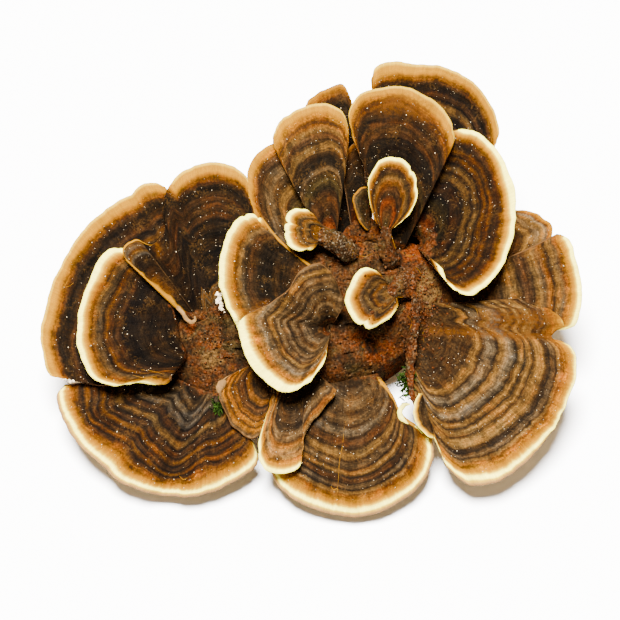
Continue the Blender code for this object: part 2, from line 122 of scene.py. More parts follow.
# Lumps and crumbs as (height, wavelength) in mm: of the wall and of the crust, from coarse to fine.
WALL_LUMPS, WALL_CRUMBS, WALL_START = (0.5, 3.0), (0.35, 1.1), 0.08
CRUST_LUMPS, CRUST_CRUMBS, CRUST_GRIT = (0.6, 2.4), (0.22, 0.9), (0.08, 0.35)
# Pits of the crust: depth and spacing (mm), and the noise levels between which they open.
PIT_DEPTH, PIT_SPACING, PIT_LEVELS = 0.8, 1.1, (0.52, 0.74)

# Specular level of the matt growth, and the thickness of a moss leaf (m).
MATT = 0.015
LEAF_THICKNESS = 0.00006
# What the warm and cool patches of the velvet multiply its colour by.
WARM_HUE = (1.5, 1.1, 0.6, 1.0)
COOL_HUE = (0.82, 1.0, 1.5, 1.0)
# The colour sockets of the shader groups, and what a finish group puts out.
COLOUR_SOCKETS = ("Color", "Bands", "Side Colour")
FINISH = ("Color", "Roughness", "Height")

# The stage: the photo's width in mm, camera distance (m), floor, sun and the warm room round it.
PHOTO_WIDTH = 620.0 / 4.5
CAMERA_DISTANCE = 1.0
SENSOR_WIDTH = 36.0
FLOOR_HALF = 3.0
FLOOR_COLOUR = (0.95, 0.94, 0.93)
SUN_STRENGTH = 45.0
SUN_ANGLE = math.radians(20.0)
SUN_DIRECTION = Vector((0.07, 0.02, -1.0))
ROOM_COLOUR = (1.0, 0.75, 0.46)
ROOM_STRENGTH = 0.5

# How the margin's colours go inward: mm from the edge, then the colour.
MARGINS = {
    "golden": "0 cream 0.4 cream 0.8 peach 1.7 peach 2.3 tan 3 amber 3.6 orange 4.2 brown",
    "narrow": "0 cream 0.3 peach 1.1 peach 1.6 tan 2.1 amber 2.6 orange 3.2 brown",
    "pale": "0 white 0.9 white 1.3 cream 1.8 peach 2.4 tan 3 amber 3.6 orange",
    "broad": "0 lip 0.4 lip 0.8 cream 1.1 white 1.5 white 2 cream 2.4 peach 3 tan 3.8 amber 4.7 orange",
    "thick": "0 white 1.7 white 2.2 cream 2.6 peach 3.2 amber 3.8 orange",
    "small": "0 white 0.8 white 1.2 cream 1.6 peach 2 tan 2.5 amber 2.9 orange",
}

# Each bracket of the left rosette: its root line or the centre of its round root, the margin
# in order, the points its side edges pass through, the bulge toward the viewer, folds as
# (place along the margin, half-width, depth), bends of the bands as (place, half-width, mm),
# notches as (place, half-width mm, depth mm), creases as (width mm, points) and bands as mm from
# the margin, then the colour. Retreat is how deep into the bands the edge already is, by its
# place (mm), and creep is how far the crust spreads over the root (mm). Side edges are edge_tan
# unless side_colour says otherwise.
LEFT_ROSETTE = {
    "cap_left_top": dict(
        root=((-13.5, -5, -2.5), (-26.3, -3.2, -1.2)),
        rim=((-12.2, 20.5, -1.6), (-12.8, 27.5, -1.2), (-15.6, 31.4, -0.8), (-21.5, 32.8, -0.6),
            (-27.5, 31.6, -0.6), (-31.2, 28, -0.6), (-32.6, 22.5, 0), (-33.2, 16, 2.2), (-35, 14.4, 4),
            (-38.6, 15.5, 5.6), (-41.2, 13.4, 6.2), (-40.6, 10.8, 6.2)),
        retreat=((0, 2.5), (0.1, 0), (0.51, 0), (0.56, 4.2), (0.8, 4.2), (0.86, 26), (1, 26.3)),
        creep=4, bulge=0.8, edge_line=((0, 0.02), (0.8, 0.02), (0.86, 0.5), (1, 0.5)),
            side_pale=(0.3, 1.5), side_colour="peach", margin="golden", tone=0.6,
        creases=((0.8, ((-35, 20.4, 0), (-34.4, 16, 0), (-33.3, 12.4, 0))), (1.3, ((-34.5, 6.5, 0),
            (-31.5, 3.6, 0)))),
        bands="4.7 umber 5.4 black 6.6 umber 7.6 brown 8.5 umber 9.4 brown 10.4 umber 11.6 brown "
              "12.6 black 14 umber 15.5 black 18 umber 19.4 black 22.4 umber 26.2 black 26.8 gold "
              "27.5 grey 28.1 orange 28.7 gold 29.3 grey 29.8 umber"),
    "cap_left_front": dict(
        inner=((-35.2, 6.4, 0.2), (-32.2, 3.8, 0.2), (-30.2, 0, 0.3), (-28.8, -6, 0.2),
            (-27.4, -10.4, 0.2), (-29, -12.8, 0.8), (-30.7, -14.6, 1.8)),
        rim=((-40.4, 13.6, 2.6), (-44.5, 13.2, 3.4), (-49, 6, 4.4), (-51.5, -2, 4.8), (-51.2, -9.5, 5),
            (-48.5, -14.8, 5.2), (-44, -16.9, 5.2), (-37.5, -16.4, 4.4), (-32, -16.5, 3.4),
            (-30.6, -15.4, 2.6)),
        retreat=((0.86, 0), (0.95, 1.2), (1, 1.6)),
        creep=0.3, bulge=1.6, side_pale=(0.3, 0.7), margin="pale", tone=0.68,
        folds=((0.66, 0.05, 0.8),),
        bands="4.4 gold 5.4 grey_brown 6.3 umber 7.2 orange 8 brown 8.8 umber 9.6 brown 10.6 black "
              "13 black 14.5 umber 16 black 18.5 umber 20 black 24 umber"),
    "cap_left_small": dict(
        root=((-12, -11.5, -1.2), (-8, -15, -1.6)),
        rim=((-17.4, -14.2, 1.6), (-19.4, -15.4, 2.2), (-20.2, -17.6, 2.2), (-18.8, -22.8, 1.6),
            (-16.6, -26.4, 1.2), (-12.6, -28.8, 1), (-10.4, -27.5, 0.8)),
        retreat=((0, 0.4), (0.1, 0), (0.25, 0.9), (0.5, 1.2), (0.9, 1), (1, 1.4)),
        bulge=0.4, side_pale=(0.4, 0.2), tone=1.5,
        bands="0 lip 0.5 lip 1 edge_tan 1.7 grey_brown 2.4 amber 3.2 umber 4 amber 4.8 umber 5.6 orange "
              "6.5 umber 7.5 brown 8.6 black 9.6 orange 11 umber 14 brown"),
    "cap_left_outer": dict(
        root=((-22, 0, -5.8), (-27, -11, -5.6)),
        rim=((-31, 26, -3.2), (-33.6, 28.4, -2.8), (-42.5, 24.6, -2.4), (-50, 18.5, -1.8), (-55, 11, -1),
            (-58.7, 2, -0.2), (-59.6, -8.4, 0.4), (-57.8, -14.4, 0.6), (-53.6, -15.4, 0.4)),
        sides=((), ((-36, -15, -3), (-46, -16.9, -0.8))),
        retreat=((0, 3.6), (0.04, 0.4), (0.08, 0), (0.92, 0), (1, 1)),
        bulge=1.2, side_pale=(0.4, 0.5), margin="golden", tone=0.8,
        notches=((0.17, 1.6, 0.7),),
        bands="4.6 umber 5.4 black 6.8 umber 7.8 brown 8.8 black 10 umber 10.8 orange 11.6 umber "
              "13 black 17 umber 21 black"),
    "cap_left_bottom": dict(
        root=((-27, -13, -6), (-20.5, -15.5, -5.4)),
        rim=((-54.6, -16.6, -2.4), (-56.3, -18.6, -1.8), (-55.4, -23.4, -0.6), (-48.5, -32.6, 1.4),
            (-39.5, -39.5, 2.4), (-30, -41.5, 2.6), (-22, -40.4, 2.2), (-15, -36.9, 1),
            (-11.6, -33.4, -0.2), (-12.8, -29.2, -1.4)),
        retreat=((0, 1.5), (0.05, 0), (0.94, 0), (1, 2)),
        creep=4.5, bulge=1.8, side_pale=(0.6, 0.4), margin="broad", tone=0.72,
        folds=((0.58, 0.05, 1.8), (0.2, 0.05, 1)), bends=((0.36, 0.08, -1.4), (0.57, 0.07, 2.4),
            (0.7, 0.06, -1.4), (0.16, 0.05, 1.6)),
        bands="5.4 brown 6.1 black 6.9 orange 7.7 black 8.5 brown 9.4 black 10.3 orange 11.2 black "
              "12.2 brown 13.2 black 14.3 gold 15.4 black 16.6 brown 17.8 black 19 grey 20.2 black "
              "21.4 grey 22.6 black 24 grey_brown 25.5 black 28 brown"),
}

# The brackets of the right rosette, in the same words.
RIGHT_ROSETTE = {
    "cap_middle_tongue": dict(
        centre=(4.7, -4, 1.4),
        rim=((7.6, 1, 5), (5.7, 6.8, 6.5), (2.1, 10.5, 8), (-2, 8.8, 8), (-4.5, 5.2, 7.2),
            (-9.5, 1.6, 6.4), (-15.6, -2.6, 6.2), (-15, -8, 7), (-11.3, -14.4, 8.4), (-5.5, -18.3, 9.6),
            (-0.3, -16.2, 9.6), (2.6, -12, 8.6), (3.6, -9.2, 6.6)),
        retreat=((0, 14), (0.09, 9.2), (0.17, 5.6), (0.23, 5.8), (0.3, 6.8), (0.39, 4.7), (0.46, 2.6),
            (0.5, 0.7), (0.54, 0), (0.94, 0), (1, 1.5)),
        creep=1.4, bulge=1.4, side_pale=(0.3, 0.3), margin="thick", tone=1.45,
        bands="4.6 gold 5.4 grey 6.2 grey_brown 6.9 umber 7.7 gold 8.4 umber 9.3 grey_brown 10.1 umber "
              "10.9 grey_brown 11.7 black 12.8 grey_brown 14 umber 15.2 grey_brown 17 umber 20 black"),
    "cap_middle_left": dict(
        root=((2.5, 8.5, 0.5), (-1, 0.5, 0.8)),
        rim=((-10.4, 20.4, 4), (-12.8, 21.6, 4.4), (-16.6, 19.8, 4.8), (-19.4, 13.8, 5), (-20.1, 8, 5),
            (-18.8, 1, 4.4), (-16.4, -3.4, 3.8), (-14.6, -7, 3.4)),
        sides=(((-3.2, 12.6, 2.2), (-7.5, 16.6, 3.2)), ()),
        retreat=((0, 1), (0.05, 0)),
        creep=1, bulge=0.6, side_pale=(0.8, 0.3), side_colour="peach", margin="pale",
        notches=((0.03, 0.5, 0.6), (0.13, 0.4, 0.4)), creases=((0.7, ((-16.2, -2.8, 0), (-12.6, 0, 0),
            (-9.6, 1.8, 0))),),
        bands="4.3 gold 5.2 grey_brown 6 umber 6.8 brown 7.8 umber 9 black 11.5 black 12.6 umber "
              "14 black 16 umber 20 brown"),
    "cap_bottom_small": dict(
        centre=(-2, -11, -1.4),
        rim=((-8.2, -18.5, 1.6), (-10, -23.5, 3), (-11.4, -31, 4.8), (-10.6, -34.6, 5.4),
            (-6.6, -36.4, 5.6), (-2.6, -34.8, 5.2), (-1.7, -31, 4.6), (-0.9, -26.6, 3.4),
            (2.2, -22.8, 2.4), (6, -17.8, 1.6)),
        retreat=((0, 3), (0.12, 0.9), (0.25, 0), (0.57, 0), (0.64, 3.2), (0.8, 4.6), (1, 6)),
        bulge=0.6, edge_line=((0, 0.12), (1, 0.12)), side_pale=(0.2, 0.15), margin="small", tone=1.9,
        bands="3.6 gold 4.6 grey_brown 5.4 gold 6.3 orange 7.2 umber 8.4 grey_brown 10 black 13 umber "
              "15 black 20 umber"),
    "cap_top": dict(
        centre=(20, 11.5, -2.4),
        rim=((13.4, 24, 0.6), (12.4, 28.2, 1.4), (11.6, 33.2, 2.4), (9, 38.8, 3.2), (8.4, 43, 4),
            (10.4, 47, 4.6), (14.8, 49.1, 5), (20.8, 49.2, 5.4), (26.8, 46.7, 5.6), (31.2, 42.2, 5.4),
            (31.8, 38.2, 4.8), (30.6, 34.6, 4)),
        retreat=((0, 9), (0.08, 6), (0.17, 3.6), (0.25, 1), (0.31, 0), (0.92, 0), (1, 1.6)),
        bulge=1.4, side_pale=(0.4, 0.4), side_colour="brown", margin="golden", tone=0.9,
        creases=((2.2, ((17, 45.2, 0), (21, 45.4, 0), (24.6, 44, 0))),),
        bands="4.6 orange 5.5 brown 6.5 umber 7.4 black 8.4 brown 9.4 umber 10.8 brown 12 black "
              "15.6 black 17 umber 18.4 olive 20 black 22 brown 24.5 umber 29 black"),
    "cap_upper_middle": dict(
        centre=(5.2, 11, -3.4),
        rim=((-6, 32, 0.2), (-8.3, 38.4, 0.8), (-6.4, 42.4, 1.4), (-1.8, 44.7, 1.8), (3.4, 45.6, 2),
            (7.4, 43.6, 1.6), (8.6, 39.6, 0.8), (8.5, 34.6, 0.2)),
        retreat=((0, 4.2), (0.1, 2), (0.22, 0), (0.8, 0), (0.9, 2), (1, 4)),
        bulge=1.8, side_pale=(0.5, 0.5), side_colour="brown", margin="golden", tone=1.35,
        bands="4.6 orange 5.6 gold 6.6 brown 7.8 umber 9.2 gold 10.4 umber 11.8 black 13.4 black "
              "14.2 grey_brown 14.9 umber 16.6 olive 18.8 black 21 brown 24.5 black 28 rust"),
    "cap_right_top": dict(
        centre=(23.2, 14.8, -3.2),
        rim=((24.6, 33.5, -0.4), (28, 37.4, 0), (32.6, 39.8, 0.4), (36.6, 39.6, 0.8), (41.8, 35, 1.6),
            (45.1, 27.5, 3), (45.6, 19.5, 4.4), (43.6, 11.8, 5.6), (39.4, 5.9, 6.4), (35, 3.4, 6.6),
            (31.6, 4.8, 5.8), (29.8, 7.4, 4.6), (29.4, 9.2, 3.8)),
        retreat=((0, 10), (0.08, 5), (0.14, 1.6), (0.18, 0), (0.86, 0), (0.94, -1.2), (1, -0.6)),
        creep=4, bulge=1.2, side_pale=(0.3, 0.15), margin="pale", tone=0.5,
        notches=((0.9, 0.4, 0.4),),
        bands="4.2 brown 5.2 umber 6.1 orange 7 umber 7.8 orange 8.7 black 9.8 gold 10.8 umber 12 gold "
              "13.2 black 15 brown 16.6 black 18.6 olive 20.5 black 23 rust 26 umber"),
    "cap_upper_small": dict(
        root=((10, 13, -5.6), (14, 13, -5.6)),
        rim=((7.4, 29, -2.6), (7.7, 34.6, -2.2), (9.8, 37.4, -1.8), (12.2, 35.6, -1.8), (13.8, 30, -2.2)),
        retreat=((0, 2.6), (0.4, 2.2), (0.75, 2.4), (1, 3.4)),
        bulge=0.4, side_pale=(0.5, 0.5), margin="golden", tone=0.8,
        bands="8 umber 12 black 18 rust"),
    "cap_upper_left": dict(
        root=((6.5, 12, -5.8), (1, 9.5, -5.8)),
        rim=((-4, 38.4, -2.4), (-8.4, 37, -2), (-12.2, 34.4, -1.4), (-13.8, 30.8, -1),
            (-13.5, 24.8, -0.8), (-11.8, 19.4, -0.8), (-6.8, 15, -1.2), (-4, 12.6, -2)),
        retreat=((0, 1.4), (0.2, 0.6), (0.42, 0), (0.58, 0.8), (1, 1.2)),
        bulge=0.8, side_pale=(0.4, 0.3), margin="narrow", tone=1.35,
        bands="5.2 umber 6.4 grey_brown 8 grey_brown 9.6 umber 11.4 gold 13 umber 15 olive 18 black "
              "24 umber"),
    "cap_right_lower": dict(
        root=((21.5, 1, -5.6), (21, -9, -5.6)),
        rim=((46.4, 2.6, 0.8), (50.4, 0.7, 1.8), (54, 0, 2.4), (56.5, -3.4, 2.6), (54, -5.8, 1),
            (58, -8.2, 2.4), (58.9, -14.6, 3.2), (55.9, -22.7, 3.6), (49.5, -32.2, 3.8),
            (42.4, -37.6, 3.8), (36, -38.8, 3.6), (30.6, -35.2, 2.8), (27.8, -29.2, 1.8),
            (24.3, -25, 0.4), (23.2, -20.6, -1.4)),
        retreat=((0, 6.5), (0.05, 5), (0.09, 3.4), (0.13, 1.8), (0.16, 2.6), (0.2, 4), (0.23, 1.4),
            (0.28, 1.3), (0.44, 1.2), (0.56, 0), (0.86, 0), (0.9, 0.8), (1, 1.6)),
        creep=3, bulge=1.8, edge_line=((0, 0.1), (1, 0.1)), side_pale=(0.12, 0.5), margin="broad",
            tone=1.4,
        creases=((0.9, ((54, -5.8, 0), (46, -5.6, 0), (36, -5, 0), (27, -4.6, 0))), (2.6, ((53, -2.4, 0),
            (46, -2, 0), (40, -2.6, 0)))),
        bands="5.4 gold 5.9 umber 6.6 grey_brown 7.4 black 8.3 umber 9.2 gold 10.6 gold 11.5 umber "
              "12.5 gold 13.6 black 14.6 gold 15.8 black 17.2 grey 18.8 gold 20 black 21.4 grey "
              "22.8 umber 24 gold 25.6 umber 29 umber"),
    "cap_bottom": dict(
        root=((3, -12.5, -4.4), (15, -14, -4.4)),
        rim=((-9.6, -33.4, 0.2), (-7.6, -38.6, 1.6), (-3.3, -42.4, 2.4), (3, -45.1, 2.8), (9.6, -46, 3),
            (16.7, -44.5, 2.8), (23.3, -40, 2.2), (27, -34, 0.8), (27.2, -28.6, -0.8)),
        sides=((), ((18.8, -19.6, -1.2), (20.4, -23, 0), (23.6, -25.6, -0.2))),
        retreat=((0, 1), (0.05, 0)),
        creep=2, bulge=1.6, side_pale=(0.3, 0.9), side_colour="peach", margin="broad", tone=1.1,
        bands="5.5 gold 6.2 black 7 grey_brown 7.7 black 8.5 brown 9.3 black 10.2 gold 11 black "
              "11.9 grey_brown 12.8 umber 13.8 gold 15.2 umber 16.6 brown 17.6 umber 18.8 grey 20 umber "
              "21.6 grey_brown 23 umber 25 grey_brown 29 umber"),
    "cap_right_upper": dict(
        root=((22.5, 4.5, -6), (22.5, -2, -6.2)),
        rim=((55, 17, -0.8), (57.4, 15.8, -0.6), (59.2, 11.4, -0.4), (60.2, 6, -0.4), (60.3, 0.6, -0.4),
            (58.8, -3.8, -0.8), (55, -4.4, -1.6)),
        sides=(((34, 8.4, -3.6), (46.4, 12.8, -1.8)), ()),
        retreat=((0, 2.6), (0.08, 0.4), (0.15, 0), (0.9, 0), (1, 0.8)),
        bulge=1, side_pale=(0.5, 0.3), margin="pale", tone=1.4,
        bands="4.4 grey_brown 5.4 gold 6.4 umber 7.4 orange 8.4 grey_brown 9.6 gold 10.8 umber "
              "12.2 brown 13.6 umber 15.6 gold 18 umber 22 brown"),
    "cap_right_back": dict(
        root=((22, 12, -9), (23.5, 6, -9)),
        rim=((41, 23.6, -5.8), (46, 22.6, -5.4), (50, 21.5, -5), (54.2, 18.2, -4.6), (53.8, 15.2, -4.8),
            (51, 12.4, -5.2)),
        retreat=((0, 1.4), (0.3, 0.8), (0.5, 0.4), (1, 0.8)),
        bulge=0.6, side_pale=(0.5, 0.3), tone=1.9,
        bands="0 cream 0.5 peach 1.1 tan 1.8 orange 2.6 grey 3.4 gold 4.8 grey_brown 6.4 gold 8 umber "
              "10 brown 14 black"),
    "cap_back_small": dict(
        root=((7, 11, -9), (12, 11, -9)),
        rim=((-1.6, 43.6, -6.4), (-0.2, 47, -6.2), (3.4, 49.2, -6), (7.4, 50.4, -6), (8.9, 48.2, -6.2),
            (9.6, 44, -6.4)),
        retreat=((0, 0.9), (0.65, 0.9), (0.78, 1.5), (1, 2.2)),
        bulge=0.4, side_pale=(0.5, 0.5), side_colour="amber", margin="narrow",
        bands="4.2 umber 5.2 black 8 umber 12 black"),
    "cap_back": dict(
        root=((16, 11, -9.4), (24, 11, -9.4)),
        rim=((13.6, 51.4, -4.8), (14.2, 53.6, -4.6), (16.6, 55, -4.6), (22, 55.2, -4.4),
            (29.6, 54.3, -4.2), (34.6, 52, -4.2), (39.6, 47, -4.4), (42.5, 40.4, -4.8),
            (41.2, 35.4, -5.2)),
        sides=(((14.6, 30, -7), (14.2, 44, -5.4)), ()),
        retreat=((0, 1), (0.06, 0), (0.9, 0), (1, 2)),
        bulge=0.8, side_pale=(0.8, 0.4), side_colour="amber", margin="golden", tone=0.7,
        bands="4.6 umber 5.6 black 6.6 brown 7.6 black 8.8 gold 9.8 umber 11 black 14 brown 16 umber "
              "22 black"),
}

# The three stalked brackets: a neck line stands between the root line and the blade.
STALKED = {
    "cap_kidney": dict(
        root=((23.5, 6.6, 0.5), (23.5, 2.6, 0.5)), neck=((17.8, 5.2, 4), (19.2, 2.8, 4)),
        rim=((16, 7.4, 5), (14.6, 8.4, 5.6), (12.4, 9.1, 6.2), (9.3, 7.2, 6.8), (8, 3.5, 7.2),
            (8.8, -1.2, 7.4), (12.2, -4, 7.4), (16.6, -2.5, 6.6), (19.2, -0.2, 5.2), (19.6, 1, 4.6)),
        retreat=((0, 2), (0.08, 0.5), (0.14, 0), (0.9, 0), (1, 1)),
        creep=4, bulge=0.8, side_pale=(0.2, 0.2), side_colour="peach", margin="small", tone=0.9,
        notches=((0.66, 0.5, 0.8),),
        bands="3.5 grey_brown 4.3 umber 5.2 gold 6 umber 7 orange 8.2 grey_brown 9.6 gold 11 tan_crust "
              "14 rust"),
    "cap_spoon": dict(
        root=((16.2, 10, -0.5), (20.4, 9.6, -0.5)), neck=((15.6, 18, 3.6), (17.8, 17.6, 3.6)),
        rim=((14.6, 19.4, 4.2), (13.2, 24.4, 6), (13.3, 29.6, 7.6), (15.6, 33, 8.8), (19.4, 33.5, 9.2),
            (22.6, 30.8, 8.8), (23.7, 26.4, 8), (22.2, 22, 6.6), (19.8, 19.2, 5), (18.6, 18.2, 4.2)),
        retreat=((0, 1.6), (0.1, 0.8), (0.3, 0.4), (0.45, 0), (0.95, 0), (1, 0.6)),
        creep=5, bulge=-0.5, side_pale=(0.2, 0.2), side_colour="peach", margin="small", tone=1,
        notches=((0.6, 0.3, 0.7),),
        bands="3.4 brown 4.1 umber 5.2 gold 6.4 orange 7.8 brown 9.2 umber 10.6 rust 12.4 brown "
              "15 olive 18 gold 20 olive"),
    "cap_torn": dict(
        root=((10.2, 15.6, -0.5), (8.6, 10.4, -0.5)), neck=((2.8, 18.8, 3.6), (1.8, 14.6, 3.8)),
        rim=((0.9, 20.9, 4.8), (-1.6, 22.5, 5.6), (-4.4, 21.8, 6), (-5.6, 18.8, 6.2), (-5.7, 15.6, 6.2),
            (-4.3, 13.5, 6.2), (-1.4, 12.8, 5.8), (0.9, 13.5, 4.8)),
        retreat=((0, 1.5), (0.12, 0.4), (0.2, 0), (0.9, 0), (1, 1)),
        creep=6.5, bulge=0.5, side_pale=(0.2, 0.2), ragged=0.1, margin="small", tone=1.3,
        notches=((0.42, 0.3, 0.8), (0.52, 0.2, 0.4), (0.63, 0.25, 0.4)),
        bands="3.2 gold 4 umber 4.8 orange 5.6 gold 6.3 black 7.2 orange 8.6 orange 10 grey_brown "
              "12 tan_crust 14 grey_brown 17 tan_crust"),
}

# A narrow lip that the right-hand fan's left margin turns up toward the viewer.
LIP = dict(
    root=((25, -18.6, 0.9), (27.6, -27.6, 2.4)),
    rim=((24, -18.4, 2), (22.9, -20.4, 2.9), (22.7, -23, 3.6), (23.8, -25.8, 3.9), (25.6, -27.8, 3.8),
        (27.4, -28.7, 3.2)),
    creep=0, bulge=0.3, side_pale=(0.3, 0.3), side_colour="cream",
    bands="0 white 0.4 cream 0.8 peach 1.3 grey_brown 2.2 umber 4 grey_brown")

# A small olive lobe that leans against the left edge of the top fan.
SIDE_LOBE = dict(
    root=((13.6, 18.4, 0.4), (13.2, 26.6, 1.2)),
    rim=((12.9, 17.6, 0.6), (10.8, 19.8, 1.2), (9.6, 22.6, 1.6), (9.7, 25, 1.8), (11, 26.8, 1.8),
        (12.8, 27.4, 1.6)),
    creep=0.6, bulge=0.3, side_pale=(0.2, 0.2),
    bands="0 peach 0.25 tan 0.55 grey_brown 1.3 olive 2.2 umber 3.2 olive 4.5 umber")

# Curled ends: path in the face (mm), radii along it (mm) and colour.
CURLS = {
    "rolled_edge": dict(
        path=((22.2, -20.9, 1.7), (21.2, -21, 2.1), (20.2, -21.8, 2.3), (19.9, -22.9, 2.1),
            (20.4, -24.2, 1.6), (21.8, -25.4, 1.1), (23.4, -26.2, 0.7), (25, -27.6, 0.4)),
        radii=(0.2, 0.5, 0.62, 0.62, 0.56, 0.5, 0.42, 0.3), colour="white"),
    "ear_hook": dict(
        path=((-29.6, 1, 0.6), (-28.2, -0.8, 0.9), (-27.1, -2.3, 1.3), (-26.2, -2.7, 1.6),
            (-25.5, -2.2, 1.8), (-25.6, -1.3, 1.8)),
        radii=(0.55, 0.55, 0.5, 0.46, 0.42, 0.25), colour="lip"),
    "striped_knob": dict(
        path=((-20.2, -18.6, 1.8), (-20, -17.2, 2.1), (-19.3, -16.2, 2.2), (-18.5, -15.9, 2)),
        radii=(0.5, 0.85, 0.9, 0.6), colour="lip"),
}

# Crusty stalks: path in the face (mm), radii (mm), shares of rust, darkness and pale grains.
STALKS = {
    "stalk_torn": dict(
        path=((0.6, 17.2, 3.2), (2.6, 16.4, 3.4), (5.6, 14.9, 2.8), (8.4, 13, 1.2), (10.2, 11.6, -1)),
        radii=(1.2, 2.1, 2.3, 2.2, 1.5), rust=0, dark=0.2, pale=0.35),
    "stalk_spoon": dict(
        path=((16.6, 19.2, 3.4), (16.9, 17, 3), (16.3, 14.4, 2), (17.4, 11.8, 0.8), (18.8, 9.4, -0.8)),
        radii=(0.8, 1.2, 1.8, 1.9, 1.4), rust=0.1, dark=0.3, pale=0.1),
    "ragged_crest": dict(
        path=((20.6, 10.5, 0.9), (23, 4.6, 1.6), (23.5, -1.5, 1.4), (22.8, -8, 1), (22.1, -14, 0.9),
            (22.4, -17.6, 1), (23.6, -21.4, 1.2)),
        radii=(0.4, 0.8, 1.1, 0.9, 1.1, 0.8, 0.3), rust=0.4, dark=0.3, pale=0.14),
    "crust_bridge": dict(
        path=((7, 15.6, -3.4), (11, 17.2, -3), (14.6, 17.8, -3), (18, 16.6, -3.2), (20.5, 14, -3.4)),
        radii=(1.6, 2.4, 2.6, 2.4, 1.6), rust=0.5, dark=0.4, pale=0),
    "stalk_kidney": dict(
        path=((16.6, 3.8, 4.4), (18.4, 4.4, 4), (20.2, 6.2, 2.6), (21.8, 7, 1.6), (23, 6.2, 0.6)),
        radii=(1, 1.6, 2, 2, 1.4), rust=0.15, dark=0.1, pale=0.2),
}

# Mounds and hollows of the crust: (across, up, half-width across, half-width up, height), mm.
MOUNDS = (
    (21.5, 5, 4, 7, 0.8), (12, 12, 6, 4.5, 1), (24, -6, 2.6, 8, 0.5), (7, -11, 5, 4, 0.8),
    (-22, -8, 6.5, 7, 1), (-19, 1, 5, 4, 1.4), (14.5, -7, 3.6, 3.2, -1.6), (27.2, 10.6, 2.4, 3, 3.6),
    (13.5, 16.5, 3.5, 3, 1.6), (9, 17, 2.5, 2.5, 1.2))
# The ragged crest that runs down the crust beside the right-hand fan, and its height and half-width (mm).
CREST = (
    (20.5, 10.5), (23, 4), (23.4, -3), (22.8, -9), (22.4, -15), (23, -19.5))
CREST_HEIGHT, CREST_HALF_WIDTH = 1.3, 0.9
# Where the crust is rust-red, dark or tan: (across, up, half-width), mm.
RUST_SPOTS = (
    (10.7, 13.3, 2.2), (23.3, 12.9, 3), (27.8, 10.6, 2.2), (22.4, 0.8, 1.7), (15.6, -8.9, 3.8),
    (11, -6.6, 2.4), (18.9, -13.8, 2.6), (-23.2, -8, 1.5), (-20.4, -7.4, 1), (-26.6, -4, 1.6),
    (-35.2, 3.6, 1.6), (-17, -12.6, 1.2))
# The dark spots: partly dark pits, partly painted shade where the brackets overhang the crust.
DARK_AND_SHADE_SPOTS = (
    (13.8, -8.4, 1.7), (6.4, -2.8, 2.6), (17.4, -10.4, 1), (-13, -9, 3.6), (19.6, 12, 1.8), (-29, -15, 4),
    (-18.2, -5.2, 2.4), (-15.5, -13.4, 3.2), (-27.6, -8.4, 1.8), (8, -11, 2.6), (-19, 0.4, 2),
    (13, 9, 2.2))
TAN_SPOTS = (
    (-21.8, -10.9, 2.6), (28.3, 2.2, 3.2), (24.2, 4.6, 2), (24.4, -5, 2), (26.6, 7, 1.8))
# Where crumbs lie: (across, up) in mm and the share of the crumbs.
CRUMB_MIDDLES = ((25.5, 4, 0.3), (24, -6, 0.3), (21, 8, 0.12), (-21, -9, 0.1), (9, 14, 0.08), (16, -10, 0.1))

# Pale lumps of torn margin: where each row starts and ends (mm), how many and how large.
TORN_LUMPS = (((-20.5, 3.8, 4.5), (-19.4, -0.4, 4.3), 46, 0.36),
              ((-55.6, -15.3, 0.5), (-52.4, -15.9, 0.4), 10, 0.34))
# Stray pale fibres: points (across, up) in mm that each is laid over, and its radius (mm).
FIBRES = (
    (((-53.4, 7.6), (-54.4, 5.6), (-55.6, 4.2)), 0.1), (((-54.8, 8.2), (-55, 6.4), (-54.2, 5.2)), 0.09),
    (((-52.6, 6), (-53.8, 5.2), (-55.6, 5.4)), 0.07), (((-44, -32), (-42.9, -33.4), (-42.6, -35)), 0.11),
    (((-42.2, -31.6), (-42.8, -33.2), (-41.8, -34.6)), 0.09), (((-43.4, -34.4), (-42, -33.6),
    (-40.8, -33.9)), 0.08), (((-29, -36.8), (-28, -37.6), (-27.2, -37.2)), 0.1), (((-19, -35),
    (-18.9, -36.4), (-18.2, -37.3)), 0.08), (((4.6, -39), (5.2, -39.8), (6.1, -39.6), (6, -40.6)), 0.12),
    (((9.9, 12.6), (12.2, 11.9), (14, 12.6)), 0.07), (((20.4, 12.9), (22.2, 12), (24, 12.4)), 0.08),
    (((23.6, 9.6), (24.6, 8.2), (24.4, 6.6)), 0.07), (((-39.2, -14.4), (-36.6, -15), (-33.8, -14.6)),
    0.1), (((-37.4, -13.2), (-34.6, -13.6), (-32.2, -14.2)), 0.08), (((8.4, 14.8), (9.6, 13),
    (9.2, 11.6)), 0.06), (((26.6, -3.6), (25.2, -5), (25.4, -7.2)), 0.07), (((21.6, -1.2), (22.6, -2.6),
    (22.2, -4.2)), 0.06), (((36.4, 1), (37, 0), (37.4, -1.4)), 0.07))
# The hairline crack of the bottom fan, as points (across, up) in mm.
HAIRLINE = (
    (7.9, -24.6), (7.5, -27), (7.3, -29.6), (6.7, -32.4), (6.4, -35), (6.3, -37.6), (5.9, -40.2))
# The field that pale grains fall on, as two corners (across, up) in mm, and the share kept on crust.
GRAIN_FIELD = ((-60.0, -47.0), (61.0, 56.0))
GRAINS_ON_CRUST = 0.25
# Smallest radius and how much the largest exceeds it, of pale grains and of crumbs (mm).
GRAIN_RADII, CRUMB_RADII = (0.035, 0.08), (0.09, 0.3)
# Spread of the crumbs about their middles (across, up) and of torn lumps about their row (mm).
CRUMB_SPREAD = (2.4, 4.6)
TORN_SPREAD = (0.3, 0.2, 0.08)
# How deeply each point of a lump is dented, at most.
LUMP_DENT = 0.28
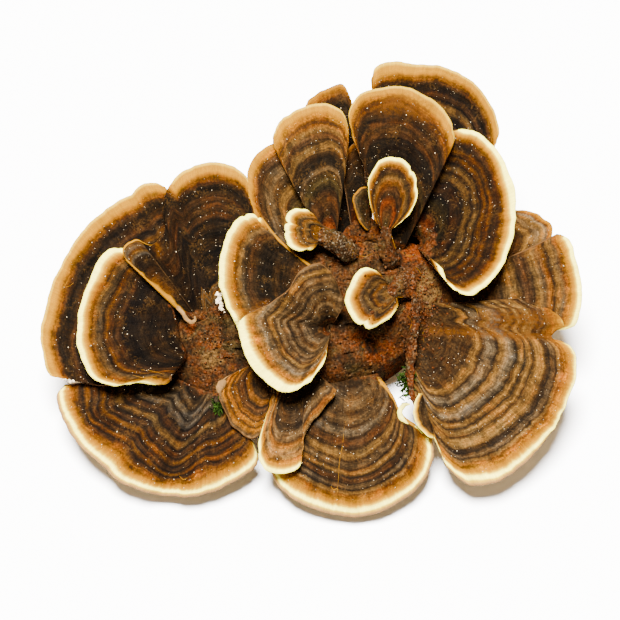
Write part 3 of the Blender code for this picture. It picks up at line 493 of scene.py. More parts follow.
# A moss leaf: lengths and half-widths (mm), its mean lean and, by its length, (place, width, curl).
LEAF_LENGTHS, LEAF_WIDTHS, LEAF_LEAN = (0.8, 1.9), (0.12, 0.26), (-0.1, 0.1, 0.9)
LEAF_PROFILE = ((0.0, 0.5, 0.0), (0.35, 1.0, 0.06), (0.7, 0.75, 0.2), (1.0, 0.06, 0.42))
# Tufts of moss: middle (across, up, toward), reach (mm) and share of the leaves.
TUFTS = {"moss_right": ((21.8, -16.4, -1.2), (0.9, 1.5, 0.7), 1.0),
         "moss_left": ((-20.2, -21.4, -1.8), (0.6, 0.7, 0.4), 0.35)}


def stacked(*values):
    """Arrays of the same shape as the coordinates of points."""
    return np.stack(values, axis=-1)


def unit(vectors):
    """Vectors brought to a length of one."""
    return vectors / np.linalg.norm(vectors, axis=-1, keepdims=True)


def place(points):
    """Face coordinates (across, up, toward) in mm as world metres: the face is tipped back."""
    across, up, toward = np.moveaxis(np.asarray(points, float), -1, 0)
    x = across + FACE_ORIGIN[0]
    y = up * math.sin(FACE_TILT) - toward * math.cos(FACE_TILT) + FACE_ORIGIN[1]
    z = up * math.cos(FACE_TILT) + toward * math.sin(FACE_TILT) + FACE_ORIGIN[2]
    return stacked(x, y, z) * MM


def seen_from_face(points):
    """World metres as face coordinates in mm: the face's tilt undone."""
    x, y, z = np.moveaxis(np.asarray(points, float) / MM - np.array(FACE_ORIGIN), -1, 0)
    up = y * math.sin(FACE_TILT) + z * math.cos(FACE_TILT)
    toward = -y * math.cos(FACE_TILT) + z * math.sin(FACE_TILT)
    return stacked(x, up, toward)


def smooth_line(points, shares):
    """Points at the given shares of the length of a cubic curve through the given points."""
    points = np.asarray(points, float)
    steps = np.linalg.norm(np.diff(points, axis=0), axis=1)
    knots = np.concatenate([[0.0], np.cumsum(steps)])
    slopes = np.gradient(points, knots, axis=0)
    along = np.asarray(shares) * knots[-1]
    k = np.clip(np.searchsorted(knots, along, side="right") - 1, 0, len(steps) - 1)
    h = steps[k][:, None]
    x = (along - knots[k])[:, None] / h
    start = (1 + 2 * x) * (1 - x) ** 2 * points[k] + x * (1 - x) ** 2 * h * slopes[k]
    end = x * x * (3 - 2 * x) * points[k + 1] + x * x * (x - 1) * h * slopes[k + 1]
    return start + end


def noise(points, seed=0, octaves=1):
    """Smooth noise from -1 to 1 at points (..., 3): hashed corner values of a unit lattice, blended
    by the smooth step, with each further octave at twice the frequency and half the height."""
    total, height, sum_heights = 0.0, 1.0, 0.0
    points = np.asarray(points, float)
    for octave in range(octaves):
        cell = np.floor(points).astype(np.int64)
        part = points - cell
        part = part * part * (3.0 - 2.0 * part)
        level = 0.0
        for corner in itertools.product((0, 1), repeat=3):
            key = cell + np.array(corner)
            code = key[..., 0] * 374761393 + key[..., 1] * 668265263 + key[..., 2] * 2147483647
            code = (code + (seed * 7 + octave) * 1442695041) & 0xFFFFFFFF
            code = ((code ^ (code >> 13)) * 1274126177) & 0xFFFFFFFF
            code = ((code ^ (code >> 16)) * 2246822519) & 0xFFFFFFFF
            value = (code >> 8) / 8388608.0 - 1.0
            weight = np.prod(np.where(np.array(corner) == 1, part, 1.0 - part), axis=-1)
            level = level + value * weight
        total = total + level * height
        sum_heights += height
        height *= 0.5
        points = points * 2.0 + 17.3
    return total / sum_heights


def rough(points, layer, seed, octaves=1):
    """Noise of a (height, wavelength)."""
    return layer[0] * noise(points / layer[1], seed, octaves)


def layered(points, seed, layers):
    """Noise of several (height, wavelength) layers, one over the other."""
    return sum(rough(points, layer, seed + number) for number, layer in enumerate(layers))


def on_line(values, seed, wavelength):
    """Smooth noise along one length."""
    values = np.asarray(values, float) / wavelength
    return noise(stacked(values, np.zeros_like(values) + seed * 3.7, np.zeros_like(values)), seed)


def smoothstep(low, high, values):
    """0 below the low value, 1 above the high one, and a smooth rise between them."""
    x = np.clip((np.asarray(values, float) - low) / (high - low), 0.0, 1.0)
    return x * x * (3.0 - 2.0 * x)


def lengths_along(grid, axis):
    """Distance travelled over a grid of points from its start along one axis."""
    steps = np.linalg.norm(np.diff(grid, axis=axis), axis=-1)
    start = np.zeros_like(np.take(steps, [0], axis=axis))
    return np.concatenate([start, np.cumsum(steps, axis=axis)], axis=axis)


def distance_to_line(flat, line):
    """Distance of points (..., 2) from a smooth line through the given points."""
    line = smooth_line(line, np.linspace(0.0, 1.0, 40))[:, :2]
    away = np.full(flat.shape[:-1], 1e9)
    for start, end in zip(line[:-1], line[1:]):
        step = end - start
        share = np.clip(((flat - start) @ step) / (step @ step), 0.0, 1.0)
        away = np.minimum(away, np.linalg.norm(flat - start - share[..., None] * step, axis=-1))
    return away


def spotted(flat, spots, seed):
    """How strongly points (..., 2) lie in round spots (across, up, half-width), with frayed borders."""
    level = np.zeros(flat.shape[:-1])
    solid = np.concatenate([flat / STAIN_AND_SHADE_FRAY_SIZE, np.zeros((*flat.shape[:-1], 1))], axis=-1)
    frayed = flat + STAIN_AND_SHADE_FRAY * stacked(noise(solid, seed, 3), noise(solid, seed + 5, 3))
    for across, up, half_width in spots:
        away = np.linalg.norm(frayed - np.array([across, up]), axis=-1)
        level = np.maximum(level, smoothstep(1.15, 0.6, away / half_width))
    return level


def roughened(rim, seed, bracket, amount):
    """The margin curve with fine scallops and its notches, moved along its own outward side."""
    tangent = unit(np.gradient(rim[:, :2], axis=0))
    side = stacked(tangent[:, 1], -tangent[:, 0])
    start = bracket.get("root", bracket.get("inner", rim))
    middle = np.array(bracket.get("centre", np.mean(start, axis=0)), float)[:2]
    if ((rim[:, :2] - middle) * side).sum() < 0.0:
        side = -side
    length = lengths_along(rim, 0)
    share = length / length[-1]
    shift = amount * sum(height * on_line(length, seed + number, wavelength)
                         for number, (height, wavelength) in enumerate(SCALLOPS))
    shift += bracket.get("ragged", 0.0) * on_line(length, seed + 3, RAGGED_LENGTH)
    for place_on, half_width, depth in bracket.get("notches", ()):
        away = (share - place_on) * length[-1] / half_width
        shift -= depth * np.exp(-np.abs(away) ** NOTCH_POWER)
    rim = rim.copy()
    ends = smoothstep(0.0, SCALLOP_FADE, share) * smoothstep(1.0, 1.0 - SCALLOP_FADE, share)
    rim[:, :2] += side * (shift * ends)[:, None]
    return rim


def patch(inner, outer, first_side, second_side, along, out):
    """A surface filled in between four edge curves (a bilinear Coons patch)."""
    along = along[None, :, None]
    out = out[:, None, None]
    across = (1 - out) * inner[None] + out * outer[None]
    outward = (1 - along) * first_side[:, None] + along * second_side[:, None]
    corners = (1 - out) * ((1 - along) * inner[0] + along * inner[-1])
    corners = corners + out * ((1 - along) * outer[0] + along * outer[-1])
    return across + outward - corners


def bracket_sheet(bracket, columns, rows, seed, sizes):
    """The upper surface as rows of points from root to margin, with the share outward of each row.

    A patch between root line, roughened margin and two side edges, lifted in the middle by
    the bulge and pressed in along the folds. A stalk is an arched strip that leads to the neck.
    """
    x = np.linspace(0.0, 1.0, columns + 1)
    along = x - CROWD_SIDES * np.sin(math.tau * x) / math.tau
    out = 1.0 - (1.0 - np.linspace(0.0, 1.0, rows + 1)) ** CROWD_MARGIN
    rim = roughened(smooth_line(bracket["rim"], along), seed, bracket, sizes.margin_wave)
    if "centre" in bracket:
        outward = rim - np.array(bracket["centre"], float)
        inner = rim - outward * (1.0 - ROUND_ROOT / np.linalg.norm(outward, axis=1)[:, None])
    elif "inner" in bracket:
        inner = smooth_line(bracket["inner"], along)
    else:
        start = np.array(bracket.get("neck", bracket.get("root")), float)
        inner = start[0] + (start[1] - start[0]) * along[:, None]
    middles = bracket.get("sides", ((), ()))
    first_side = smooth_line([inner[0], *middles[0], rim[0]], out)
    second_side = smooth_line([inner[-1], *middles[1], rim[-1]], out)
    sheet = patch(inner, rim, first_side, second_side, along, out)
    sheet[..., 2] += bracket["bulge"] * 4.0 * (out * (1.0 - out))[:, None]
    for middle, half_width, depth in bracket.get("folds", ()):
        sheet[..., 2] -= out[:, None] * depth * np.exp(-(((along - middle) / half_width) ** 2))
    if "neck" in bracket:
        first, second = np.array(bracket["root"], float)
        root = first + (second - first) * along[:, None]
        count = rows // 2
        shares = (np.arange(count) / count)[:, None, None]
        stalk = root + (inner - root) * shares
        arch = STALK_ARCH * (1.0 - (2.0 * along - 1.0) ** 2)
        stalk[..., 2] += arch * (1.0 - shares[..., 0])
        sheet = np.concatenate([stalk, sheet])
        out = np.concatenate([np.zeros(count), out])
    return sheet, along, out


def closed_pair(rows, columns):
    """Faces of two grids that share their outer border, the first looking up and the second down."""
    number = np.arange(rows * columns).reshape(rows, columns)
    lower = number.copy()
    lower[1:-1, 1:-1] = rows * columns + np.arange((rows - 2) * (columns - 2)).reshape(rows - 2, columns - 2)
    top = stacked(number[:-1, :-1], number[:-1, 1:], number[1:, 1:], number[1:, :-1])
    bottom = stacked(lower[:-1, :-1], lower[1:, :-1], lower[1:, 1:], lower[:-1, 1:])
    return np.concatenate([top.reshape(-1, 4), bottom.reshape(-1, 4)])


def make_piece(name, points, faces, attributes=None):
    """A mesh object at the origin from whole arrays of points (m) and faces, with vector attributes."""
    mesh = bpy.data.meshes.new(name)
    mesh.vertices.add(len(points))
    mesh.vertices.foreach_set("co", np.asarray(points, np.float32).ravel())
    corners = faces.shape[1]
    mesh.loops.add(faces.size)
    mesh.loops.foreach_set("vertex_index", faces.astype(np.int32).ravel())
    mesh.polygons.add(len(faces))
    mesh.polygons.foreach_set("loop_start", np.arange(0, faces.size, corners, dtype=np.int32))
    mesh.update(calc_edges=True)
    for key, values in (attributes or {}).items():
        layer = mesh.attributes.new(key, "FLOAT_VECTOR", "POINT")
        layer.data.foreach_set("vector", np.asarray(values, np.float32).ravel())
    mesh.shade_smooth()
    mesh.validate()
    thing = bpy.data.objects.new(name, mesh)
    bpy.context.scene.collection.objects.link(thing)
    return thing


def grown_bracket(name, bracket, seed, sizes, columns, rows):
    """One bracket: upper and under surface with a rounded margin between them.

    Each stands off the middle sheet by half the flesh, times the height of a quarter circle
    of the distance to the nearest edge, so both meet in a rounded lip. Ridges follow the
    growth rings and fine ribs run out to the margin; the root sinks into the crust. Of the
    attributes, in mm, growth holds the place along the margin, the depth into the bands and
    the distance from any edge, below zero underneath; rims holds the distance from the pale
    side edges over their width, the distance from the root and the orange marks.
    """
    sheet, along, out = bracket_sheet(bracket, columns, rows, seed, sizes)
    from_root = lengths_along(sheet, 0)
    zone = from_root[-1] - from_root
    from_first = lengths_along(sheet, 1)
    from_last = from_first[:, -1:] - from_first
    edge = np.minimum(np.minimum(zone, from_root), np.minimum(from_first, from_last))
    margin_length = lengths_along(sheet[-1], 0)
    share = margin_length / margin_length[-1]
    place_along = np.broadcast_to(margin_length, zone.shape)
    flat = stacked(sheet[..., 0], sheet[..., 1], np.full(zone.shape, seed * 5.1))
    retreat = np.interp(share, *np.array(bracket.get("retreat", ((0, 0), (1, 0)))).T)
    settled = smoothstep(0.0, SETTLING, zone)
    bent = zone + retreat + settled * layered(flat, seed, WANDER)
    for middle, half_width, amount in bracket.get("bends", ()):
        bend = amount * np.exp(-(((along - middle) / half_width) ** 2))
        bent = bent + bend * smoothstep(BENDS_START, BENDS_FULL, zone)
    orange = np.zeros(zone.shape)
    for width, line in bracket.get("creases", ()):
        orange = np.maximum(orange, np.exp(-((distance_to_line(sheet[..., :2], line) / width) ** 2)))
    first_width, last_width = bracket["side_pale"]
    sides = np.minimum(from_first / first_width, from_last / last_width)
    sides = sides * (1.0 + SIDE_UNEVEN * noise(flat / 1.4, seed + 8, 2))
    line_width = np.interp(share, *np.array(bracket.get("edge_line", USUAL_EDGE_LINE)).T)
    sides = np.minimum(sides, np.where(retreat > RUN_PAST, zone / line_width, NO_SIDE))
    sides = np.minimum(sides, NO_SIDE)
    inside = smoothstep(0.2, SETTLING, edge)
    ridges = noise(stacked(bent / RIDGE_SPACING[0], place_along / RIDGE_SPACING[1], flat[..., 2]), seed + 2)
    ribs = noise(stacked(place_along / RIB_SPACING[0], zone / RIB_SPACING[1], flat[..., 2]), seed + 3)
    wave = on_line(place_along, seed + 6, WAVE_LENGTH) * smoothstep(WAVE_REACH, 0.0, zone)
    wave = wave * sizes.margin_wave * WAVE_HEIGHT
    relief = inside * sizes.ring_relief * ridges + inside * RIB_HEIGHT * ribs
    relief = relief + layered(flat, seed + 4, RIPPLES) * inside + wave - CREASE_DEPTH * orange * inside
    creep = bracket.get("creep", USUAL_CREEP)
    crumbly = smoothstep(creep + CRUMB_REACH, 0.0, from_root) * inside
    relief += crumbly * CRUMB_HEIGHT * noise(flat / CRUMB_SPACING, seed + 7, 3)
    if creep > 0.5 and "neck" not in bracket:
        relief -= ROOT_DEPTH * smoothstep(ROOT_REACH, 0.0, from_root)
    thickness = sizes.root_flesh + (sizes.margin_flesh - sizes.root_flesh) * out[:, None] ** THINNING
    lip = np.clip(edge / (LIP_REACH * thickness), 0.0, 1.0)
    half = 0.5 * thickness * np.sqrt(1.0 - (1.0 - lip) ** 2)
    middle = sheet.copy()
    middle[..., 2] -= 0.5 * thickness
    upper, under = middle.copy(), middle.copy()
    upper[..., 2] += half + relief
    under[..., 2] += relief * UNDER_RELIEF - half
    border = np.ones(zone.shape, bool)
    border[1:-1, 1:-1] = False
    under[border] = upper[border]
    rims = stacked(sides, from_root, orange)
    first = place_along + seed * 13.0
    pairs = ((upper, under), (stacked(first, bent, edge), stacked(first, bent, -edge)), (rims, rims))
    points, growth, rims = (np.concatenate([top.reshape(-1, 3), low[1:-1, 1:-1].reshape(-1, 3)])
                            for top, low in pairs)
    faces = closed_pair(*zone.shape)
    tangent = sheet[-1, 1:, :2] - sheet[-1, :-1, :2]
    outward = sheet[-1, 1:, :2] - sheet[0, 1:, :2]
    if (tangent[:, 0] * outward[:, 1] - tangent[:, 1] * outward[:, 0]).sum() < 0.0:
        faces = faces[:, ::-1]
    return make_piece(name, place(points), faces, {"growth": growth, "rims": rims})


def crust_rise(across, up):
    """Height of the crust over its dome (mm): the foot's long swells, mounds and a ragged crest,
    with crumbly lumps and pits on them."""
    swell = LUMP_HEIGHT * np.sin(across * LUMP_ACROSS + 1.0) * np.cos(up * LUMP_UP - 0.4)
    swell = swell + RIPPLE_HEIGHT * np.sin(across * RIPPLE_ACROSS - up * RIPPLE_UP)
    for middle, height_of, wide, tall, rise in MOUNDS:
        swell = swell + rise * np.exp(-((across - middle) / wide) ** 2 - ((up - height_of) / tall) ** 2)
    flat = stacked(across, up, np.zeros_like(across))
    wander = 0.7 * noise(flat / 2.0, 30, 2)
    away = distance_to_line(flat[..., :2], CREST) + wander
    crest = CREST_HEIGHT * np.exp(-((away / CREST_HALF_WIDTH) ** 2)) * (0.75 + 0.5 * noise(flat / 0.8, 34, 2))
    crumbs = rough(flat, CRUST_LUMPS, 31, 3) + np.abs(rough(flat, CRUST_CRUMBS, 32, 2))
    crumbs = crumbs + rough(flat, CRUST_GRIT, 37)
    return swell + crest + crumbs - PIT_DEPTH * smoothstep(*PIT_LEVELS, noise(flat / PIT_SPACING, 33))


def closed_rings(rings, inside_out=False):
    """Points and triangles of a closed surface through rings of points, with a fan at each end."""
    rows, sides = rings.shape[:2]
    number = np.arange(rows * sides).reshape(rows, sides)
    after = np.roll(number, -1, axis=1)
    quads = stacked(number[:-1], after[:-1], after[1:], number[1:]).reshape(-1, 4)
    first_fan = stacked(after[0], number[0], np.full(sides, rows * sides))
    last_fan = stacked(number[-1], after[-1], np.full(sides, rows * sides + 1))
    faces = np.concatenate([quads[:, [0, 1, 2]], quads[:, [0, 2, 3]], first_fan, last_fan])
    points = np.concatenate([rings.reshape(-1, 3), rings[:1].mean(axis=1), rings[-1:].mean(axis=1)])
    return points, faces[:, ::-1] if inside_out else faces


def foot_surface(sides):
    """The foot: rings from the middle of the cut, up the wall and over the crust to its crown.

    Between the cut and the crust's edge each ring is a mix of the two outlines, drawn in at
    the waist; on the crust a ring is the outline shrunk by its share, at the dome's height.
    Returns the points, the triangles and how far each point is crust.
    """
    angle = np.linspace(0.0, math.tau, sides, endpoint=False)

    def oval(size):
        x, y = size[0] * np.cos(angle), size[1] * np.sin(angle)
        cosine, sine = math.cos(FOOT_TURN), math.sin(FOOT_TURN)
        return stacked(x * cosine - y * sine, x * sine + y * cosine)

    cut = np.zeros((sides, 3))
    cut[:, :2] = oval(FOOT_CUT) * MM
    outline = oval(CRUST_SIZE)

    def crust_ring(share):
        across, up = (outline * share + np.array(CRUST_MIDDLE)).T
        rise = 1.0 - share ** CRUST_EDGE_POWER
        toward = CRUST_EDGE_TOWARD + (CRUST_DOME + crust_rise(across, up)) * rise
        return place(stacked(across, up, toward))

    edge = crust_ring(1.0)
    rings = [cut * share for share in np.linspace(CUT_MIDDLE, 0.97, CUT_RINGS)]
    for share in np.linspace(0.0, 1.0, WALL_RINGS)[:-1]:
        ring = cut + (edge - cut) * share
        middle = ring.mean(axis=0)
        ring[:, :2] = middle[:2] + (ring[:, :2] - middle[:2]) * (1.0 - WAIST * math.sin(math.pi * share))
        away = ring - middle
        away[:, 2] = 0.0
        lumps = rough(ring / MM, WALL_LUMPS, 35, 3) + np.abs(rough(ring / MM, WALL_CRUMBS, 36, 2))
        rings.append(ring + unit(away) * (lumps * smoothstep(0.0, WALL_START, share) * MM)[:, None])
    rings += [crust_ring(share) for share in np.linspace(1.0, CROWN, CRUST_RINGS)]
    points, faces = closed_rings(np.stack(rings))
    crust = np.repeat(np.arange(len(rings)) >= CUT_RINGS, sides)
    return points, faces, np.concatenate([crust, [0.0, 1.0]])


def scattered_lumps(centres, radii, seed, stretch=0.45, fine=False):
    """Small lumps: an icosahedron, cut once finer if asked, scaled, turned and dented for each centre."""
    golden = (1.0 + math.sqrt(5.0)) / 2.0
    corner = np.array([(-1, golden, 0), (1, golden, 0), (-1, -golden, 0), (1, -golden, 0),
                       (0, -1, golden), (0, 1, golden), (0, -1, -golden), (0, 1, -golden),
                       (golden, 0, -1), (golden, 0, 1), (-golden, 0, -1), (-golden, 0, 1)], float)
    face = np.array([(0, 11, 5), (0, 5, 1), (0, 1, 7), (0, 7, 10), (0, 10, 11), (1, 5, 9), (5, 11, 4),
                     (11, 10, 2), (10, 7, 6), (7, 1, 8), (3, 9, 4), (3, 4, 2), (3, 2, 6), (3, 6, 8),
                     (3, 8, 9), (4, 9, 5), (2, 4, 11), (6, 2, 10), (8, 6, 7), (9, 8, 1)])
    corner = unit(corner)
    if fine:
        pairs = np.sort(np.concatenate([face[:, [0, 1]], face[:, [1, 2]], face[:, [2, 0]]]), axis=1)
        pairs, back = np.unique(pairs, axis=0, return_inverse=True)
        back = back.reshape(3, -1).T + len(corner)
        corner = np.concatenate([corner, unit(corner[pairs].mean(axis=1))])
        a, b, c = face.T
        ab, bc, ca = back.T
        face = np.concatenate([stacked(*t) for t in ((a, ab, ca), (b, bc, ab), (c, ca, bc), (ab, bc, ca))])
    rng = np.random.default_rng(seed)
    count = len(centres)
    scale = np.asarray(radii)[:, None, None] * (1.0 + stretch * rng.uniform(-1.0, 1.0, (count, 1, 3)))
    turn, _ = np.linalg.qr(rng.normal(size=(count, 3, 3)))
    turn[np.linalg.det(turn) < 0.0, :, 0] *= -1.0
    dent = 1.0 + LUMP_DENT * rng.uniform(-1.0, 1.0, (count, len(corner), 1))
    local = corner[None] * dent * scale
    points = np.einsum("nij,nkj->nki", turn, local) + np.asarray(centres)[:, None]
    faces = face[None] + (np.arange(count) * len(corner))[:, None, None]
    return points.reshape(-1, 3), faces.reshape(-1, 3)


def tube(path, radii, sides=24, rings=60, flat=1.0, lumps=0.0, lump_size=1.0, seed=0):
    """A closed tube along a smooth path: its radius follows the radii given along the path, is
    rounded off at the ends and is roughened by noise; flat squeezes it toward the viewer."""
    shares = 0.5 - 0.5 * np.cos(np.linspace(0.0, math.pi, rings))
    line = smooth_line(path, shares)
    tangent = unit(np.gradient(line, axis=0))
    side = unit(np.cross(tangent, np.array([0.0, 0.0, 1.0])))
    upward = np.cross(side, tangent)
    angle = np.linspace(0.0, math.tau, sides, endpoint=False)
    size = np.interp(shares, np.linspace(0.0, 1.0, len(radii)), radii)
    length = lengths_along(line, 0)
    from_end = np.minimum(length, length[-1] - length) / size
    size = size * np.sqrt(np.clip(1.0 - (1.0 - np.clip(from_end, 0.0, 1.0)) ** 2, 4e-3, 1.0))
    across, rise = np.cos(angle)[None, :, None], flat * np.sin(angle)[None, :, None]
    ring = across * side[:, None] + rise * upward[:, None]
    points = line[:, None] + ring * size[:, None, None]
    if lumps:
        swell = noise(points / lump_size + seed, seed, 3) + 0.5 * noise(points / (0.35 * lump_size), seed + 1)
        points = points + ring * lumps * swell[..., None] * (size / size.max())[:, None, None]
    return closed_rings(points, inside_out=True)


def mostly_small(rng, count, least, spread):
    """Radii from the least one up, few of them large."""
    return least + spread * rng.uniform(0.0, 1.0, count) ** 3


def joined(parts):
    """Several (points, faces) pairs as one."""
    points, faces, count = [], [], 0
    for some_points, some_faces in parts:
        points.append(some_points)
        faces.append(some_faces + count)
        count += len(some_points)
    return np.concatenate(points), np.concatenate(faces)


def leafy_tuft(middle, reach, count, seed):
    """Moss: narrow leaves of twelve points each, rising from a patch and bending outward."""
    rng = np.random.default_rng(seed)
    base = np.array(middle) + rng.normal(size=(count, 3)) * np.array(reach)
    lean = unit(rng.normal(size=(count, 3)) * 0.7 + np.array(LEAF_LEAN))
    flat_side = unit(np.cross(lean, rng.normal(size=(count, 3))))
    bend = np.cross(lean, flat_side)
    length = rng.uniform(*LEAF_LENGTHS, (count, 1))
    width = rng.uniform(*LEAF_WIDTHS, (count, 1))
    rows = []
    for share, wide, curl in LEAF_PROFILE:
        spine = base + lean * length * share + bend * length * curl
        rows.append(spine - flat_side * width * wide)
        rows.append(spine + bend * width * wide * 0.5)
        rows.append(spine + flat_side * width * wide)
    points = np.stack(rows, axis=1)
    corners = np.array([(a, a + 1, a + 4, a + 3) for level in range(3) for a in (level * 3, level * 3 + 1)])
    faces = corners[None] + (np.arange(count) * 12)[:, None, None]
    return points.reshape(-1, 3), faces.reshape(-1, 4)


def landed(context, spots, lift=0.0):
    """Where lines from the viewer through the (across, up) spots first meet the built growth.

    Returns the points in the face (mm), raised by the lift, with NaN where a line meets
    nothing, and the depth into the bands there.
    """
    context.view_layer.update()
    depsgraph = context.evaluated_depsgraph_get()
    direction = Vector((0.0, math.cos(FACE_TILT), -math.sin(FACE_TILT)))
    points = np.full((len(spots), 3), np.nan)
    depths = np.full(len(spots), ON_CRUST)
    for number, (across, up) in enumerate(spots):
        origin = Vector(place((across, up, LINE_START)))
        for _ in range(LINE_TRIES):
            hit, where, _, index, thing, _ = context.scene.ray_cast(depsgraph, origin, direction)
            if not hit or thing.get("carries"):
                break
            origin = where + direction * LINE_STEP
        if hit and thing.get("carries"):
            points[number] = seen_from_face(where)
            points[number, 2] += lift
            growth = thing.data.attributes.get("growth")
            if growth:
                corner = thing.data.polygons[index].vertices[0]
                depths[number] = growth.data[corner].vector[1]
    return points, depths


def tint(name, description, *shade):
    """A colour that the user may change."""
    return FloatVectorProperty(name=name, description=description, subtype="COLOR", size=3, min=0.0, max=1.0,
                               default=shade)


class ClusterColours(bpy.types.PropertyGroup):
    """Colours of the bands, the crust and the growth on it."""
    white: tint("White", "Brightest margin", 0.57, 0.49, 0.07)
    cream: tint("Cream", "Growing margin", 0.25, 0.145, 0.006)
    lip: tint("Lip", "Thickness of the margin seen from the side", 0.14, 0.072, 0.022)
    peach: tint("Peach", "Inside the margin", 0.145, 0.0595, 0.0)
    tan: tint("Tan", "Margin of upper brackets", 0.1, 0.0365, 0.0)
    edge_tan: tint("Edge tan", "Thin side edges", 0.042, 0.019, 0.006)
    amber: tint("Amber", "Orange band inside the margin", 0.058, 0.0188, 0.0)
    orange: tint("Orange", "Orange-brown band", 0.034, 0.0106, 0.0007)
    gold: tint("Gold", "Golden brown band", 0.034, 0.0152, 0.0026)
    grey: tint("Grey", "Grey band", 0.025, 0.0162, 0.0075)
    grey_brown: tint("Grey brown", "Grey-brown band", 0.0185, 0.0098, 0.0032)
    brown: tint("Brown", "Warm brown band", 0.014, 0.0052, 0.0012)
    umber: tint("Umber", "Dark brown band", 0.0062, 0.0029, 0.0008)
    black: tint("Black", "Darkest band", 0.0024, 0.0014, 0.0006)
    olive: tint("Olive", "Olive mottling", 0.0092, 0.0056, 0.0014)
    rust: tint("Rust", "Rust-red patches", 0.034, 0.0062, 0.0004)
    tan_crust: tint("Crust tan", "Dry crust", 0.034, 0.0165, 0.004)
    underside: tint("Underside", "Pored underside", 0.2, 0.13, 0.055)
    grain: tint("Grain", "Pale grains", 0.42, 0.33, 0.2)
    moss: tint("Moss", "Moss leaves", 0.0052, 0.0112, 0.0012)


class ClusterSizes(bpy.types.PropertyGroup):
    """Sizes and counts of the growth."""
    root_flesh: FloatProperty(name="Root flesh", description="Thickness of a bracket at its root, mm",
                              default=2.4, min=1.0, max=4.0)
    margin_flesh: FloatProperty(name="Margin flesh", description="Thickness of a bracket at its margin, mm",
                                default=1.1, min=0.5, max=2.0)
    margin_wave: FloatProperty(name="Margin wave", description="How wavy and scalloped the margins are",
                               default=1.0, min=0.0, max=2.0, subtype="FACTOR")
    ring_relief: FloatProperty(name="Ring relief", description="Height of the growth ridges, mm",
                               default=0.09, min=0.0, max=0.3)
    fineness: FloatProperty(name="Fineness", description="Faces per bracket, against the full count",
                            default=1.0, min=0.1, max=1.5, subtype="FACTOR")
    speck_count: IntProperty(name="Specks", description="Pale grains lying on the brackets",
                             default=2600, min=0)
    crumb_count: IntProperty(name="Crumbs", description="Crumbs of crust round the roots", default=900, min=0)
    moss_leaves: IntProperty(name="Moss leaves", description="Leaves in each tuft of moss",
                             default=170, min=0)


def set_or_link(tree, socket, value):
    """Gives a socket a value, or a link where the value is a socket itself."""
    if isinstance(value, bpy.types.NodeSocket):
        tree.links.new(value, socket)
    else:
        socket.default_value = value


def add(tree, kind, **inputs):
    """A shader node with the given socket values or links; i0, i1 ... name sockets by number."""
    made = tree.nodes.new(kind)
    for key, value in inputs.items():
        by_number = key[0] == "i" and key[1:].isdigit()
        set_or_link(tree, made.inputs[int(key[1:]) if by_number else key.replace("_", " ")], value)
    return made


def calc(tree, operation, first, second=0.0, clamp=False):
    """One sum on values."""
    made = add(tree, "ShaderNodeMath", i0=first, i1=second)
    made.operation = operation
    made.use_clamp = clamp
    return made.outputs[0]


def plus(tree, *values, clamp=False):
    """The sum of several values."""
    result = values[0]
    for value in values[1:]:
        result = calc(tree, "ADD", result, value, clamp)
    return result


def minus(tree, first, second):
    """One value less another."""
    return calc(tree, "SUBTRACT", first, second)


def times(tree, *values):
    """The product of several values."""
    result = values[0]
    for value in values[1:]:
        result = calc(tree, "MULTIPLY", result, value)
    return result


def ramped(tree, value, low, high, to_low=0.0, to_high=1.0):
    """A value carried smoothly from one range to another, and held at its ends."""
    made = add(tree, "ShaderNodeMapRange", Value=value, From_Min=low, From_Max=high,
               To_Min=to_low, To_Max=to_high)
    made.interpolation_type = "SMOOTHSTEP"
    return made.outputs["Result"]


def blended(tree, share, first, second, how="MIX"):
    """Two colours mixed, or multiplied, by a share."""
    made = tree.nodes.new("ShaderNodeMix")
    made.data_type = "RGBA"
    made.blend_type = how
    for number, value in ((0, share), (6, first), (7, second)):
        set_or_link(tree, made.inputs[number], value)
    return made.outputs[2]


def between(tree, share, first, second):
    """Two values mixed by a share."""
    return add(tree, "ShaderNodeMix", i0=share, i2=first, i3=second).outputs[0]


def scaled(tree, colour, factor):
    """A colour made lighter or darker by a factor."""
    made = tree.nodes.new("ShaderNodeVectorMath")
    made.operation = "SCALE"
    tree.links.new(colour, made.inputs[0])
    tree.links.new(factor, made.inputs["Scale"])
    return made.outputs[0]


def grain(tree, vector, scale, detail=2.0, dimensions="3D", roughness=0.5):
    """Noise over a vector, from 0 to 1."""
    made = add(tree, "ShaderNodeTexNoise", Scale=scale, Detail=detail, Roughness=roughness)
    made.noise_dimensions = dimensions
    tree.links.new(vector, made.inputs["Vector"])
    return made.outputs["Fac"]


def cells(tree, vector, scale, randomness=1.0):
    """Distance to the nearest cell point, and that cell's own random number."""
    made = add(tree, "ShaderNodeTexVoronoi", Vector=vector, Scale=scale, Randomness=randomness)
    split = add(tree, "ShaderNodeSeparateColor", Color=made.outputs["Color"])
    return made.outputs["Distance"], split.outputs[0]


def attribute(tree, name):
    """The three values of a point attribute."""
    read = tree.nodes.new("ShaderNodeAttribute")
    read.attribute_name = name
    return add(tree, "ShaderNodeSeparateXYZ", Vector=read.outputs["Vector"]).outputs


def object_spot(tree):
    """The object's own coordinates."""
    return tree.nodes.new("ShaderNodeTexCoord").outputs["Object"]


def tools_of(tree):
    """The functions for values and colours, for use on one node tree."""
    return [functools.partial(tool, tree) for tool in (plus, minus, times, ramped, blended, grain)]


